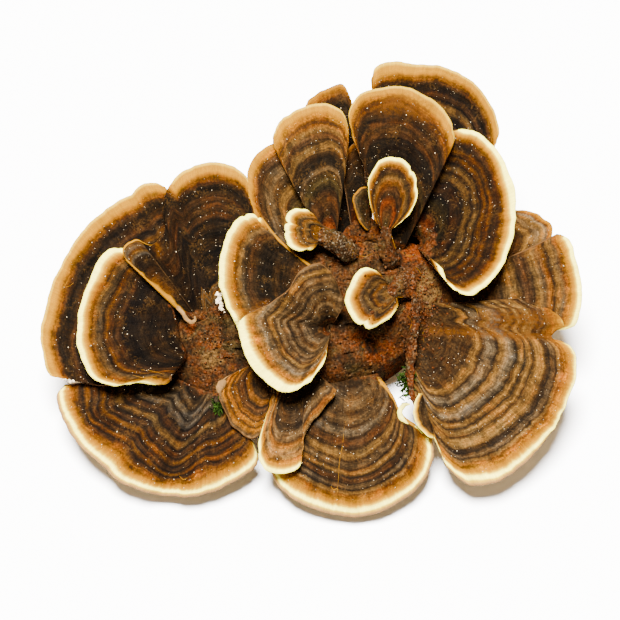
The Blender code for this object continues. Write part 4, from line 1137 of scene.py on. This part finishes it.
def new_group(name, inputs, outputs):
    """An empty shader group with inputs as (name, default) and outputs by name.

    Returns the group, its input sockets and a function that leads values to its outputs.
    """
    group = bpy.data.node_groups.new(name, "ShaderNodeTree")

    def socket(label, direction):
        kind = "NodeSocketColor" if label in COLOUR_SOCKETS else "NodeSocketFloat"
        return group.interface.new_socket(name=label, in_out=direction, socket_type=kind)

    for label, default in inputs:
        made = socket(label, "INPUT")
        if default is not None:
            made.default_value = default
    for label in outputs:
        socket(label, "OUTPUT")
    start, end = group.nodes.new("NodeGroupInput"), group.nodes.new("NodeGroupOutput")

    def put_out(**values):
        for label, value in values.items():
            group.links.new(value, end.inputs[label])

    return group, start.outputs[:len(inputs)], put_out


def use_group(tree, name, build, *values, **inputs):
    """A node of the named group, which is built the first time it is asked for."""
    node = tree.nodes.new("ShaderNodeGroup")
    node.node_tree = bpy.data.node_groups.get(name) or build(name, *values)
    for key, value in inputs.items():
        set_or_link(tree, node.inputs[key.replace("_", " ")], value)
    return node


def paint(colour, factor=1.0):
    """A colour, made lighter or darker by a factor, with full alpha."""
    return (*(c * factor for c in colour), 1.0)


def growth_lines_group(name):
    """Reads a bracket's growth attribute and frays the depth into its bands a little."""
    group, _, put_out = new_group(name, (), ("Share", "Zone", "Along", "Edge"))
    plus, minus, times, ramped, _, grain = tools_of(group)
    along, zone, edge = attribute(group, "growth")
    fray = times(minus(grain(object_spot(group), 1500.0, 3.0), 0.5), 0.5)
    flat = add(group, "ShaderNodeCombineXYZ", X=times(along, 1.5), Y=times(zone, 0.3)).outputs[0]
    ribs = times(minus(grain(flat, 1.0, 3.0, "2D"), 0.5), 0.8)
    frayed = plus(zone, times(plus(fray, ribs), ramped(zone, 0.5, 3.0), ramped(zone, 7.0, 4.5, 0.3, 1.0)))
    put_out(Share=calc(group, "DIVIDE", frayed, BAND_SPAN, clamp=True), Zone=frayed, Along=along, Edge=edge)
    return group


def crust_group(name, colours):
    """Dry crumbly crust: olive, tan and rust patches, dark pits and pinholes with pale lips; the pinholes'
    black and, on the foot, part of the dark patches are painted shade.
    """
    group, (rust, dark, pale, tan), put_out = new_group(
        name, (("Rust", 0.3), ("Dark", 0.0), ("Pale", 0.0), ("Tan", 0.0)), FINISH)
    plus, minus, times, ramped, blended, grain = tools_of(group)
    spot = object_spot(group)
    broad = grain(spot, 190.0, 5.0, "3D", 0.7)
    medium = grain(spot, 480.0, 6.0, "3D", 0.68)
    fine = grain(spot, 2000.0, 4.0, "3D", 0.7)
    colour = blended(ramped(medium, 0.36, 0.6), paint(colours.umber), paint(colours.brown))
    colour = blended(ramped(grain(spot, 260.0, 4.0), 0.5, 0.66), colour, paint(colours.olive, 1.3))
    amount = plus(times(ramped(broad, 0.58, 0.42), 0.3), rust, clamp=True)
    colour = blended(times(amount, ramped(medium, 0.34, 0.56)), colour, paint(colours.rust))
    patches = times(ramped(plus(broad, times(medium, 0.6)), 0.83, 1.0), 0.35)
    tanned = times(plus(patches, tan, clamp=True), ramped(medium, 0.3, 0.5, 0.3, 1.0))
    colour = blended(tanned, colour, paint(colours.tan_crust))
    bright = times(amount, ramped(grain(spot, 1100.0, 3.0), 0.58, 0.68))
    colour = blended(bright, colour, paint(colours.orange))
    flecks = times(ramped(grain(spot, 2100.0, 3.0), 0.54, 0.64), plus(0.08, pale))
    colour = blended(flecks, colour, paint(colours.grain, 0.2))
    # Pinholes, painted black: painted shade inside them, ringed by pale lips.
    away, pick = cells(group, spot, 900.0)
    chosen = calc(group, "GREATER_THAN", pick, 0.72)
    hole = times(ramped(away, 0.3, 0.16), chosen)
    ring = times(ramped(away, 0.26, 0.34), ramped(away, 0.46, 0.36), chosen)
    colour = blended(times(ring, 0.3), colour, paint(colours.edge_tan))
    colour = scaled(group, colour, ramped(fine, 0.32, 0.68, 0.3, 2.0))
    # The Dark share darkens toward black; on the foot it is partly painted shade where the brackets overhang
    # it.
    shade = times(dark, ramped(medium, 0.25, 0.62, 1.0, 0.5))
    colour = blended(calc(group, "MAXIMUM", hole, shade), colour, paint(colours.black))
    put_out(Color=colour, Roughness=ramped(medium, 0.3, 0.7, 0.75, 0.95),
            Height=minus(plus(medium, times(fine, 0.5)), times(hole, 1.2)))
    return group


def velvet_group(name, colours):
    """Turns the bands' colour into the bracket's velvety surface: rings, fibres, mottling and grains,
    pale side edges, crust creeping over the root and the pored underside."""
    group, (bands, zone, along, edge, side_colour, creep, tone), put_out = new_group(
        name, (("Bands", None), ("Zone", None), ("Along", None), ("Edge", None), ("Side Colour", None),
               ("Creep", USUAL_CREEP), ("Tone", 1.0)), FINISH)
    plus, minus, times, ramped, blended, grain = tools_of(group)
    side, from_root, crease = attribute(group, "rims")
    spot = object_spot(group)

    def lines(across, inward, detail, roughness, low, high):
        """Noise stretched along the margin or inward, between its low and high values."""
        flat = add(group, "ShaderNodeCombineXYZ", X=times(along, across), Y=times(zone, inward)).outputs[0]
        return ramped(grain(flat, 1.0, detail, "2D", roughness), low, high)

    def patches(scale, low, high):
        """Soft patches of a size."""
        return ramped(grain(spot, scale, 3.0, "3D", 0.6), low, high)

    inside = ramped(add(group, "ShaderNodeSeparateColor", Color=bands).outputs[1], 0.045, 0.013)
    rings = lines(0.09, 1.15, 2.0, 0.55, 0.36, 0.64)
    fine_rings = lines(0.3, 3.2, 2.0, 0.5, 0.34, 0.66)
    fibres = lines(3.0, 0.6, 3.0, 0.7, 0.3, 0.7)
    streaks = lines(0.45, 0.06, 3.0, 0.6, 0.3, 0.7)
    dots = ramped(grain(spot, 2300.0, 2.0, "3D", 0.6), 0.4, 0.66)
    brightness = tone
    for pattern, least, rise in ((rings, 0.7, 0.6), (fine_rings, 0.78, 0.44), (fibres, 0.8, 0.4),
                                 (dots, 0.76, 0.5), (streaks, 0.7, 0.6)):
        brightness = times(brightness, plus(least, times(pattern, rise)))
    calm = times(plus(0.86, times(fibres, 0.22)), plus(0.9, times(streaks, 0.2)))
    colour = scaled(group, bands, between(group, inside, calm, brightness))
    warmth = lines(0.13, 0.4, 3.0, 0.65, 0.5, 0.66)
    colour = blended(times(warmth, inside, 0.6), colour, WARM_HUE, "MULTIPLY")
    colour = blended(times(patches(130.0, 0.5, 0.62), inside, 0.7), colour, COOL_HUE, "MULTIPLY")
    colour = blended(times(patches(300.0, 0.5, 0.66), dots, inside, 0.4), colour, paint(colours.gold))
    colour = blended(times(patches(420.0, 0.52, 0.68), inside, 0.6), colour, paint(colours.black))
    torn = ramped(grain(spot, 1500.0, 3.0), 0.36, 0.6)
    colour = blended(times(crease, plus(0.25, times(torn, 0.6))), colour, paint(colours.orange))
    away, pick = cells(group, spot, 1900.0)
    speck = times(ramped(away, 0.22, 0.1), calc(group, "GREATER_THAN", pick, 0.955), inside)
    colour = blended(times(speck, 0.6), colour, paint(colours.grain, 0.4))
    colour = blended(ramped(side, 1.05, 0.6), colour, side_colour)
    crust = use_group(group, "crumbly crust", crust_group, colours, Rust=0.3)
    reach = plus(from_root, times(minus(grain(spot, 700.0, 4.0), 0.5), 5.0))
    crusted = times(ramped(minus(reach, creep), 0.6, -0.6), calc(group, "GREATER_THAN", creep, 0.05))
    colour = blended(crusted, colour, crust.outputs["Color"])
    # Pore openings of the underside are painted darker: painted shade in the pores.
    pores = ramped(cells(group, spot, 3300.0, 0.8)[0], 0.18, 0.5)
    below = ramped(edge, 0.05, -0.45)
    pored = blended(times(pores, 0.6), paint(colours.underside, 0.45), paint(colours.underside))
    fuzz = grain(spot, 5200.0, 2.0)
    put_out(Color=blended(below, colour, pored), Roughness=plus(0.66, times(fibres, 0.24)),
            Height=plus(times(fibres, 0.5), times(fuzz, 0.4), times(plus(rings, fine_rings), 0.35),
                        times(dots, 0.35), times(pores, below, 0.8),
                        times(crust.outputs["Height"], crusted, 1.4)))
    return group


def new_material(name, roughness=0.8, bump=0.4, bump_distance=0.0001):
    """A material with a matt Principled shader and a Bump node; returns it with both."""
    mat = bpy.data.materials.new(name)
    mat.use_nodes = True
    tree = mat.node_tree
    shader = tree.nodes["Principled BSDF"]
    shader.inputs["Roughness"].default_value = roughness
    shader.inputs["Specular IOR Level"].default_value = MATT
    raised = add(tree, "ShaderNodeBump", Strength=bump, Distance=bump_distance)
    tree.links.new(raised.outputs["Normal"], shader.inputs["Normal"])
    return mat, tree, shader, raised


def plug(tree, source, shader, raised):
    """Leads a finish group's colour, roughness and height into the shader and its bump."""
    tree.links.new(source.outputs["Color"], shader.inputs["Base Color"])
    tree.links.new(source.outputs["Roughness"], shader.inputs["Roughness"])
    tree.links.new(source.outputs["Height"], raised.inputs["Height"])


def banded_material(name, bracket, colours):
    """Velvet with this bracket's own bands, read by the depth from its margin."""
    mat, tree, shader, raised = new_material(name + " velvet", bump=0.5, bump_distance=0.00014)
    lines = use_group(tree, "growth lines", growth_lines_group)
    ramp = add(tree, "ShaderNodeValToRGB", Fac=lines.outputs["Share"])
    words = (MARGINS.get(bracket.get("margin"), "") + " " + bracket["bands"]).split()
    bands = [(float(depth) / BAND_SPAN, paint(getattr(colours, colour)))
             for depth, colour in zip(words[::2], words[1::2])]
    stops = ramp.color_ramp.elements
    for stop, (share, colour) in zip(stops, (bands[0], bands[-1])):
        stop.position = share
        stop.color = colour
    for share, colour in bands[1:-1]:
        stops.new(share).color = colour
    surface = use_group(tree, "velvety surface", velvet_group, colours, Bands=ramp.outputs["Color"],
                        Side_Colour=paint(getattr(colours, bracket.get("side_colour", "edge_tan"))),
                        Creep=bracket.get("creep", USUAL_CREEP), Tone=bracket.get("tone", 1.0),
                        **{key: lines.outputs[key] for key in ("Zone", "Along", "Edge")})
    plug(tree, surface, shader, raised)
    return mat


def crust_material(name, colours, **shares):
    """Crumbly crust with its own shares of rust, darkness and pale grains."""
    mat, tree, shader, raised = new_material(name, bump=0.8, bump_distance=0.0004)
    crust = use_group(tree, "crumbly crust", crust_group, colours, **shares)
    plug(tree, crust, shader, raised)
    return mat, tree, shader, crust


def speckled_material(name, light, dark, scale):
    """A finish that varies between two colours over the piece."""
    mat, tree, shader, raised = new_material(name, roughness=0.75, bump=0.5)
    spot = object_spot(tree)
    level = ramped(tree, grain(tree, spot, scale, 3.0), 0.35, 0.65)
    tree.links.new(blended(tree, level, dark, light), shader.inputs["Base Color"])
    tree.links.new(grain(tree, spot, scale * 4.0, 2.0), raised.inputs["Height"])
    return mat


def finish(piece, mat, carries=False):
    """Gives a built piece its material and sets it on the body; grains and fibres land on pieces that carry."""
    piece.data.materials.append(mat)
    if carries:
        piece["carries"] = True
    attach(piece, "root")
    return piece


def grow(table, context, first_seed, replace=True):
    """Builds each bracket in a table, over its CAD node where it has one."""
    sizes, colours = context.scene.cluster_sizes, context.scene.cluster_colours
    for number, (name, bracket) in enumerate(table.items()):
        reach = np.linalg.norm(np.diff(np.array(bracket["rim"]), axis=0), axis=1).sum()
        columns, rows = (int(min(most, max(least, reach * per_mm)) * sizes.fineness)
                         for least, most, per_mm in (COLUMNS, ROWS))
        piece = grown_bracket(name + "_velvet", bracket, first_seed + number * 11, sizes, columns, rows)
        finish(piece, banded_material(name, bracket, colours), carries=True)
        if replace:
            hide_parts(name)


class FUNGUS_OT_left_rosette(bpy.types.Operator):
    """Grow the brackets of the left rosette"""
    bl_idname = "fungus.left_rosette"
    bl_label = "Left Rosette"

    def execute(self, context):
        grow(LEFT_ROSETTE, context, 3)
        return {"FINISHED"}


class FUNGUS_OT_right_rosette(bpy.types.Operator):
    """Grow the brackets of the right rosette"""
    bl_idname = "fungus.right_rosette"
    bl_label = "Right Rosette"

    def execute(self, context):
        grow(RIGHT_ROSETTE, context, 101)
        grow({"turned_lip": LIP, "side_lobe": SIDE_LOBE}, context, 401, replace=False)
        return {"FINISHED"}


class FUNGUS_OT_stalked(bpy.types.Operator):
    """Grow the three stalked brackets and their crusty stalks"""
    bl_idname = "fungus.stalked"
    bl_label = "Stalked Brackets"

    def execute(self, context):
        grow(STALKED, context, 301)
        for number, (name, stalk) in enumerate(STALKS.items()):
            points, faces = tube(stalk["path"], stalk["radii"], sides=110, rings=120, flat=0.55,
                                 lumps=0.8, lump_size=2.4, seed=21 + number)
            mat = crust_material(name + " crust", context.scene.cluster_colours, Rust=stalk["rust"],
                                 Dark=stalk["dark"], Pale=stalk["pale"])[0]
            finish(make_piece(name, place(points), faces), mat, carries=True)
        return {"FINISHED"}


class FUNGUS_OT_foot(bpy.types.Operator):
    """Build the crusty foot with its flat cut"""
    bl_idname = "fungus.foot"
    bl_label = "Foot"

    def execute(self, context):
        sizes, colours = context.scene.cluster_sizes, context.scene.cluster_colours
        points, faces, kinds = foot_surface(int(400 * sizes.fineness))
        flat = seen_from_face(points)[..., :2]
        kinds_of_spot = ((RUST_SPOTS, 41), (DARK_AND_SHADE_SPOTS, 42), (TAN_SPOTS, 43))
        # Rust, dark and tan spots; the dark ones are partly painted shade where the brackets overhang the
        # foot.
        stains = [spotted(flat, spots, seed) for spots, seed in kinds_of_spot]
        piece = make_piece("foot_crust", points, faces, {
            "parts": stacked(kinds, np.zeros_like(kinds), np.zeros_like(kinds)), "stains": stacked(*stains)})
        mat, tree, shader, crust = crust_material("foot crust", colours)
        for key, value in zip(("Rust", "Dark", "Tan"), attribute(tree, "stains")):
            tree.links.new(value, crust.inputs[key])
        corky = ramped(tree, grain(tree, object_spot(tree), 900.0, 4.0), 0.35, 0.65)
        flesh = blended(tree, corky, paint(colours.underside, 0.6), paint(colours.underside))
        crusted = ramped(tree, attribute(tree, "parts")[0], 0.05, 0.95)
        tree.links.new(blended(tree, crusted, flesh, crust.outputs["Color"]), shader.inputs["Base Color"])
        finish(piece, mat, carries=True)
        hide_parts("foot")
        return {"FINISHED"}


class FUNGUS_OT_turned_edges(bpy.types.Operator):
    """Add the curled ends and the torn lumps of the margins"""
    bl_idname = "fungus.turned_edges"
    bl_label = "Turned Edges"

    def execute(self, context):
        colours = context.scene.cluster_colours
        for number, (name, curl) in enumerate(CURLS.items()):
            points, faces = tube(curl["path"], curl["radii"], sides=40, rings=80, lumps=0.14, lump_size=1.2,
                                 seed=71 + number)
            light = getattr(colours, curl["colour"])
            mat = speckled_material(name + " flesh", paint(light), paint(light, 0.55), 700.0)
            finish(make_piece(name, place(points), faces), mat)
        rng = np.random.default_rng(83)
        centres, radii = [], []
        for first, last, count, size in TORN_LUMPS:
            shares = rng.uniform(0.0, 1.0, (count, 1))
            line = np.array(first) + (np.array(last) - np.array(first)) * shares
            centres.append(line + rng.normal(size=(count, 3)) * TORN_SPREAD)
            radii.append(rng.uniform(0.35, 1.0, count) * size)
        points, faces = scattered_lumps(np.concatenate(centres), np.concatenate(radii), 84, fine=True)
        finish(make_piece("torn_margin_lumps", place(points), faces),
               speckled_material("torn flesh", paint(colours.grain, 1.3), paint(colours.grain, 0.6), 900.0))
        return {"FINISHED"}


class FUNGUS_OT_crumbs(bpy.types.Operator):
    """Scatter crumbs of crust round the roots"""
    bl_idname = "fungus.crumbs"
    bl_label = "Crust Crumbs"

    def execute(self, context):
        count = context.scene.cluster_sizes.crumb_count
        rng = np.random.default_rng(55)
        middles, odds = np.array(CRUMB_MIDDLES)[:, :2], [crumbs[2] for crumbs in CRUMB_MIDDLES]
        spots = middles[rng.choice(len(middles), count, p=odds)]
        spots = spots + rng.normal(size=(count, 2)) * np.array(CRUMB_SPREAD)
        centres, _ = landed(context, spots)
        centres = centres[np.isfinite(centres[:, 0])]
        radii = mostly_small(rng, len(centres), *CRUMB_RADII)
        points, faces = scattered_lumps(centres, radii, 56, stretch=0.6, fine=True)
        mat = crust_material("crumb crust", context.scene.cluster_colours, Rust=0.4, Pale=0.12)[0]
        finish(make_piece("crust_crumbs", place(points), faces), mat)
        return {"FINISHED"}


class FUNGUS_OT_moss(bpy.types.Operator):
    """Grow the two tufts of moss"""
    bl_idname = "fungus.moss"
    bl_label = "Moss"

    def execute(self, context):
        moss = context.scene.cluster_colours.moss
        green = speckled_material("moss leaf", paint(moss, 2.2), paint(moss, 0.5), 700.0)
        leaves = context.scene.cluster_sizes.moss_leaves
        for number, (name, (middle, reach, share)) in enumerate(TUFTS.items()):
            points, faces = leafy_tuft(middle, reach, int(leaves * share), 61 + number)
            piece = finish(make_piece(name, place(points), faces), green)
            piece.modifiers.new("leaf thickness", "SOLIDIFY").thickness = LEAF_THICKNESS
        return {"FINISHED"}


class FUNGUS_OT_specks(bpy.types.Operator):
    """Scatter pale grains over the brackets and lay stray fibres and the hairline crack on them"""
    bl_idname = "fungus.specks"
    bl_label = "Specks and Fibres"

    def execute(self, context):
        colours = context.scene.cluster_colours
        rng = np.random.default_rng(77)
        spots = rng.uniform(*GRAIN_FIELD, (context.scene.cluster_sizes.speck_count, 2))
        centres, depths = landed(context, spots)
        wanted = (depths < ON_CRUST) | (rng.uniform(0.0, 1.0, len(spots)) < GRAINS_ON_CRUST)
        centres = centres[np.isfinite(centres[:, 0]) & (depths > SETTLING) & wanted]
        radii = mostly_small(rng, len(centres), *GRAIN_RADII)
        points, faces = scattered_lumps(centres, radii, 78)
        finish(make_piece("pale_specks", place(points), faces),
               speckled_material("pale grain", paint(colours.grain), paint(colours.grain, 0.4), 400.0))
        strands = []
        for number, (line, radius) in enumerate((*FIBRES, (HAIRLINE, 0.08))):
            spots = smooth_line([(*p, 0.0) for p in line], np.linspace(0.0, 1.0, 9))[:, :2]
            path, _ = landed(context, spots, 0.02)
            if np.isfinite(path).all():
                radii = (radius * 0.2, radius * 0.55, radius * 0.2)
                strands.append(tube(path, radii, sides=8, rings=24, seed=number))
        points, faces = joined(strands)
        finish(make_piece("stray_fibres", place(points), faces),
               speckled_material("fibre", paint(colours.peach), paint(colours.tan), 900.0))
        return {"FINISHED"}


class FUNGUS_OT_stage(bpy.types.Operator):
    """Lay the pale floor and set the soft lights and the camera"""
    bl_idname = "fungus.stage"
    bl_label = "Stage"

    def execute(self, context):
        scene = context.scene

        def put(name, data, direction=None):
            """An object in the scene, looking along a direction where one is given."""
            thing = bpy.data.objects.new(name, data)
            scene.collection.objects.link(thing)
            if direction:
                thing.rotation_mode = "QUATERNION"
                thing.rotation_quaternion = direction.to_track_quat("-Z", "Y")
            return thing

        mesh = bpy.data.meshes.new("floor")
        corners = [(x * FLOOR_HALF, y * FLOOR_HALF, 0.0) for x, y in ((-1, -1), (1, -1), (1, 1), (-1, 1))]
        mesh.from_pydata(corners, [], [(0, 1, 2, 3)])
        floor = put("floor", mesh)
        mat = bpy.data.materials.new("pale floor")
        mat.use_nodes = True
        shader = mat.node_tree.nodes["Principled BSDF"]
        shader.inputs["Base Color"].default_value = paint(FLOOR_COLOUR)
        shader.inputs["Roughness"].default_value = 0.9
        shader.inputs["Specular IOR Level"].default_value = 0.1
        floor.data.materials.append(mat)
        world = bpy.data.worlds.new("soft room")
        world.use_nodes = True
        world.node_tree.nodes["Background"].inputs["Color"].default_value = paint(ROOM_COLOUR)
        world.node_tree.nodes["Background"].inputs["Strength"].default_value = ROOM_STRENGTH
        scene.world = world
        sun = bpy.data.lights.new("overhead light", "SUN")
        sun.energy = SUN_STRENGTH
        sun.angle = SUN_ANGLE
        put("overhead light", sun, SUN_DIRECTION)
        camera_data = bpy.data.cameras.new("camera")
        camera_data.sensor_width = SENSOR_WIDTH
        camera_data.lens = SENSOR_WIDTH * CAMERA_DISTANCE / (PHOTO_WIDTH * MM)
        camera_data.clip_start = 0.05
        camera_data.clip_end = 20.0
        away = Vector((0.0, -math.cos(FACE_TILT), math.sin(FACE_TILT)))
        camera = put("camera", camera_data, -away)
        camera.location = Vector(place((0.0, 0.0, 0.0))) + away * CAMERA_DISTANCE
        scene.camera = camera
        return {"FINISHED"}


OPERATORS = (FUNGUS_OT_foot, FUNGUS_OT_left_rosette, FUNGUS_OT_right_rosette, FUNGUS_OT_stalked,
             FUNGUS_OT_turned_edges, FUNGUS_OT_crumbs, FUNGUS_OT_moss, FUNGUS_OT_specks, FUNGUS_OT_stage)


class FUNGUS_PT_cluster(bpy.types.Panel):
    """Sizes, colours and steps of the cluster"""
    bl_label = "Turkey Tail Cluster"
    bl_idname = "FUNGUS_PT_cluster"
    bl_space_type = "VIEW_3D"
    bl_region_type = "UI"
    bl_category = "Fungus"

    def draw(self, context):
        for settings in (context.scene.cluster_sizes, context.scene.cluster_colours):
            for key in settings.__annotations__:
                self.layout.prop(settings, key)
        for operator in OPERATORS:
            self.layout.operator(operator.bl_idname)


CLASSES = (ClusterColours, ClusterSizes, *OPERATORS, FUNGUS_PT_cluster)


def register():
    for each in CLASSES:
        bpy.utils.register_class(each)
    bpy.types.Scene.cluster_colours = PointerProperty(type=ClusterColours)
    bpy.types.Scene.cluster_sizes = PointerProperty(type=ClusterSizes)


def unregister():
    del bpy.types.Scene.cluster_sizes
    del bpy.types.Scene.cluster_colours
    for each in reversed(CLASSES):
        bpy.utils.unregister_class(each)


def main():
    """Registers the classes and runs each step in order."""
    register()
    for operator in OPERATORS:
        group, name = operator.bl_idname.split(".")
        getattr(getattr(bpy.ops, group), name)()


if __name__ == "__main__":
    main()
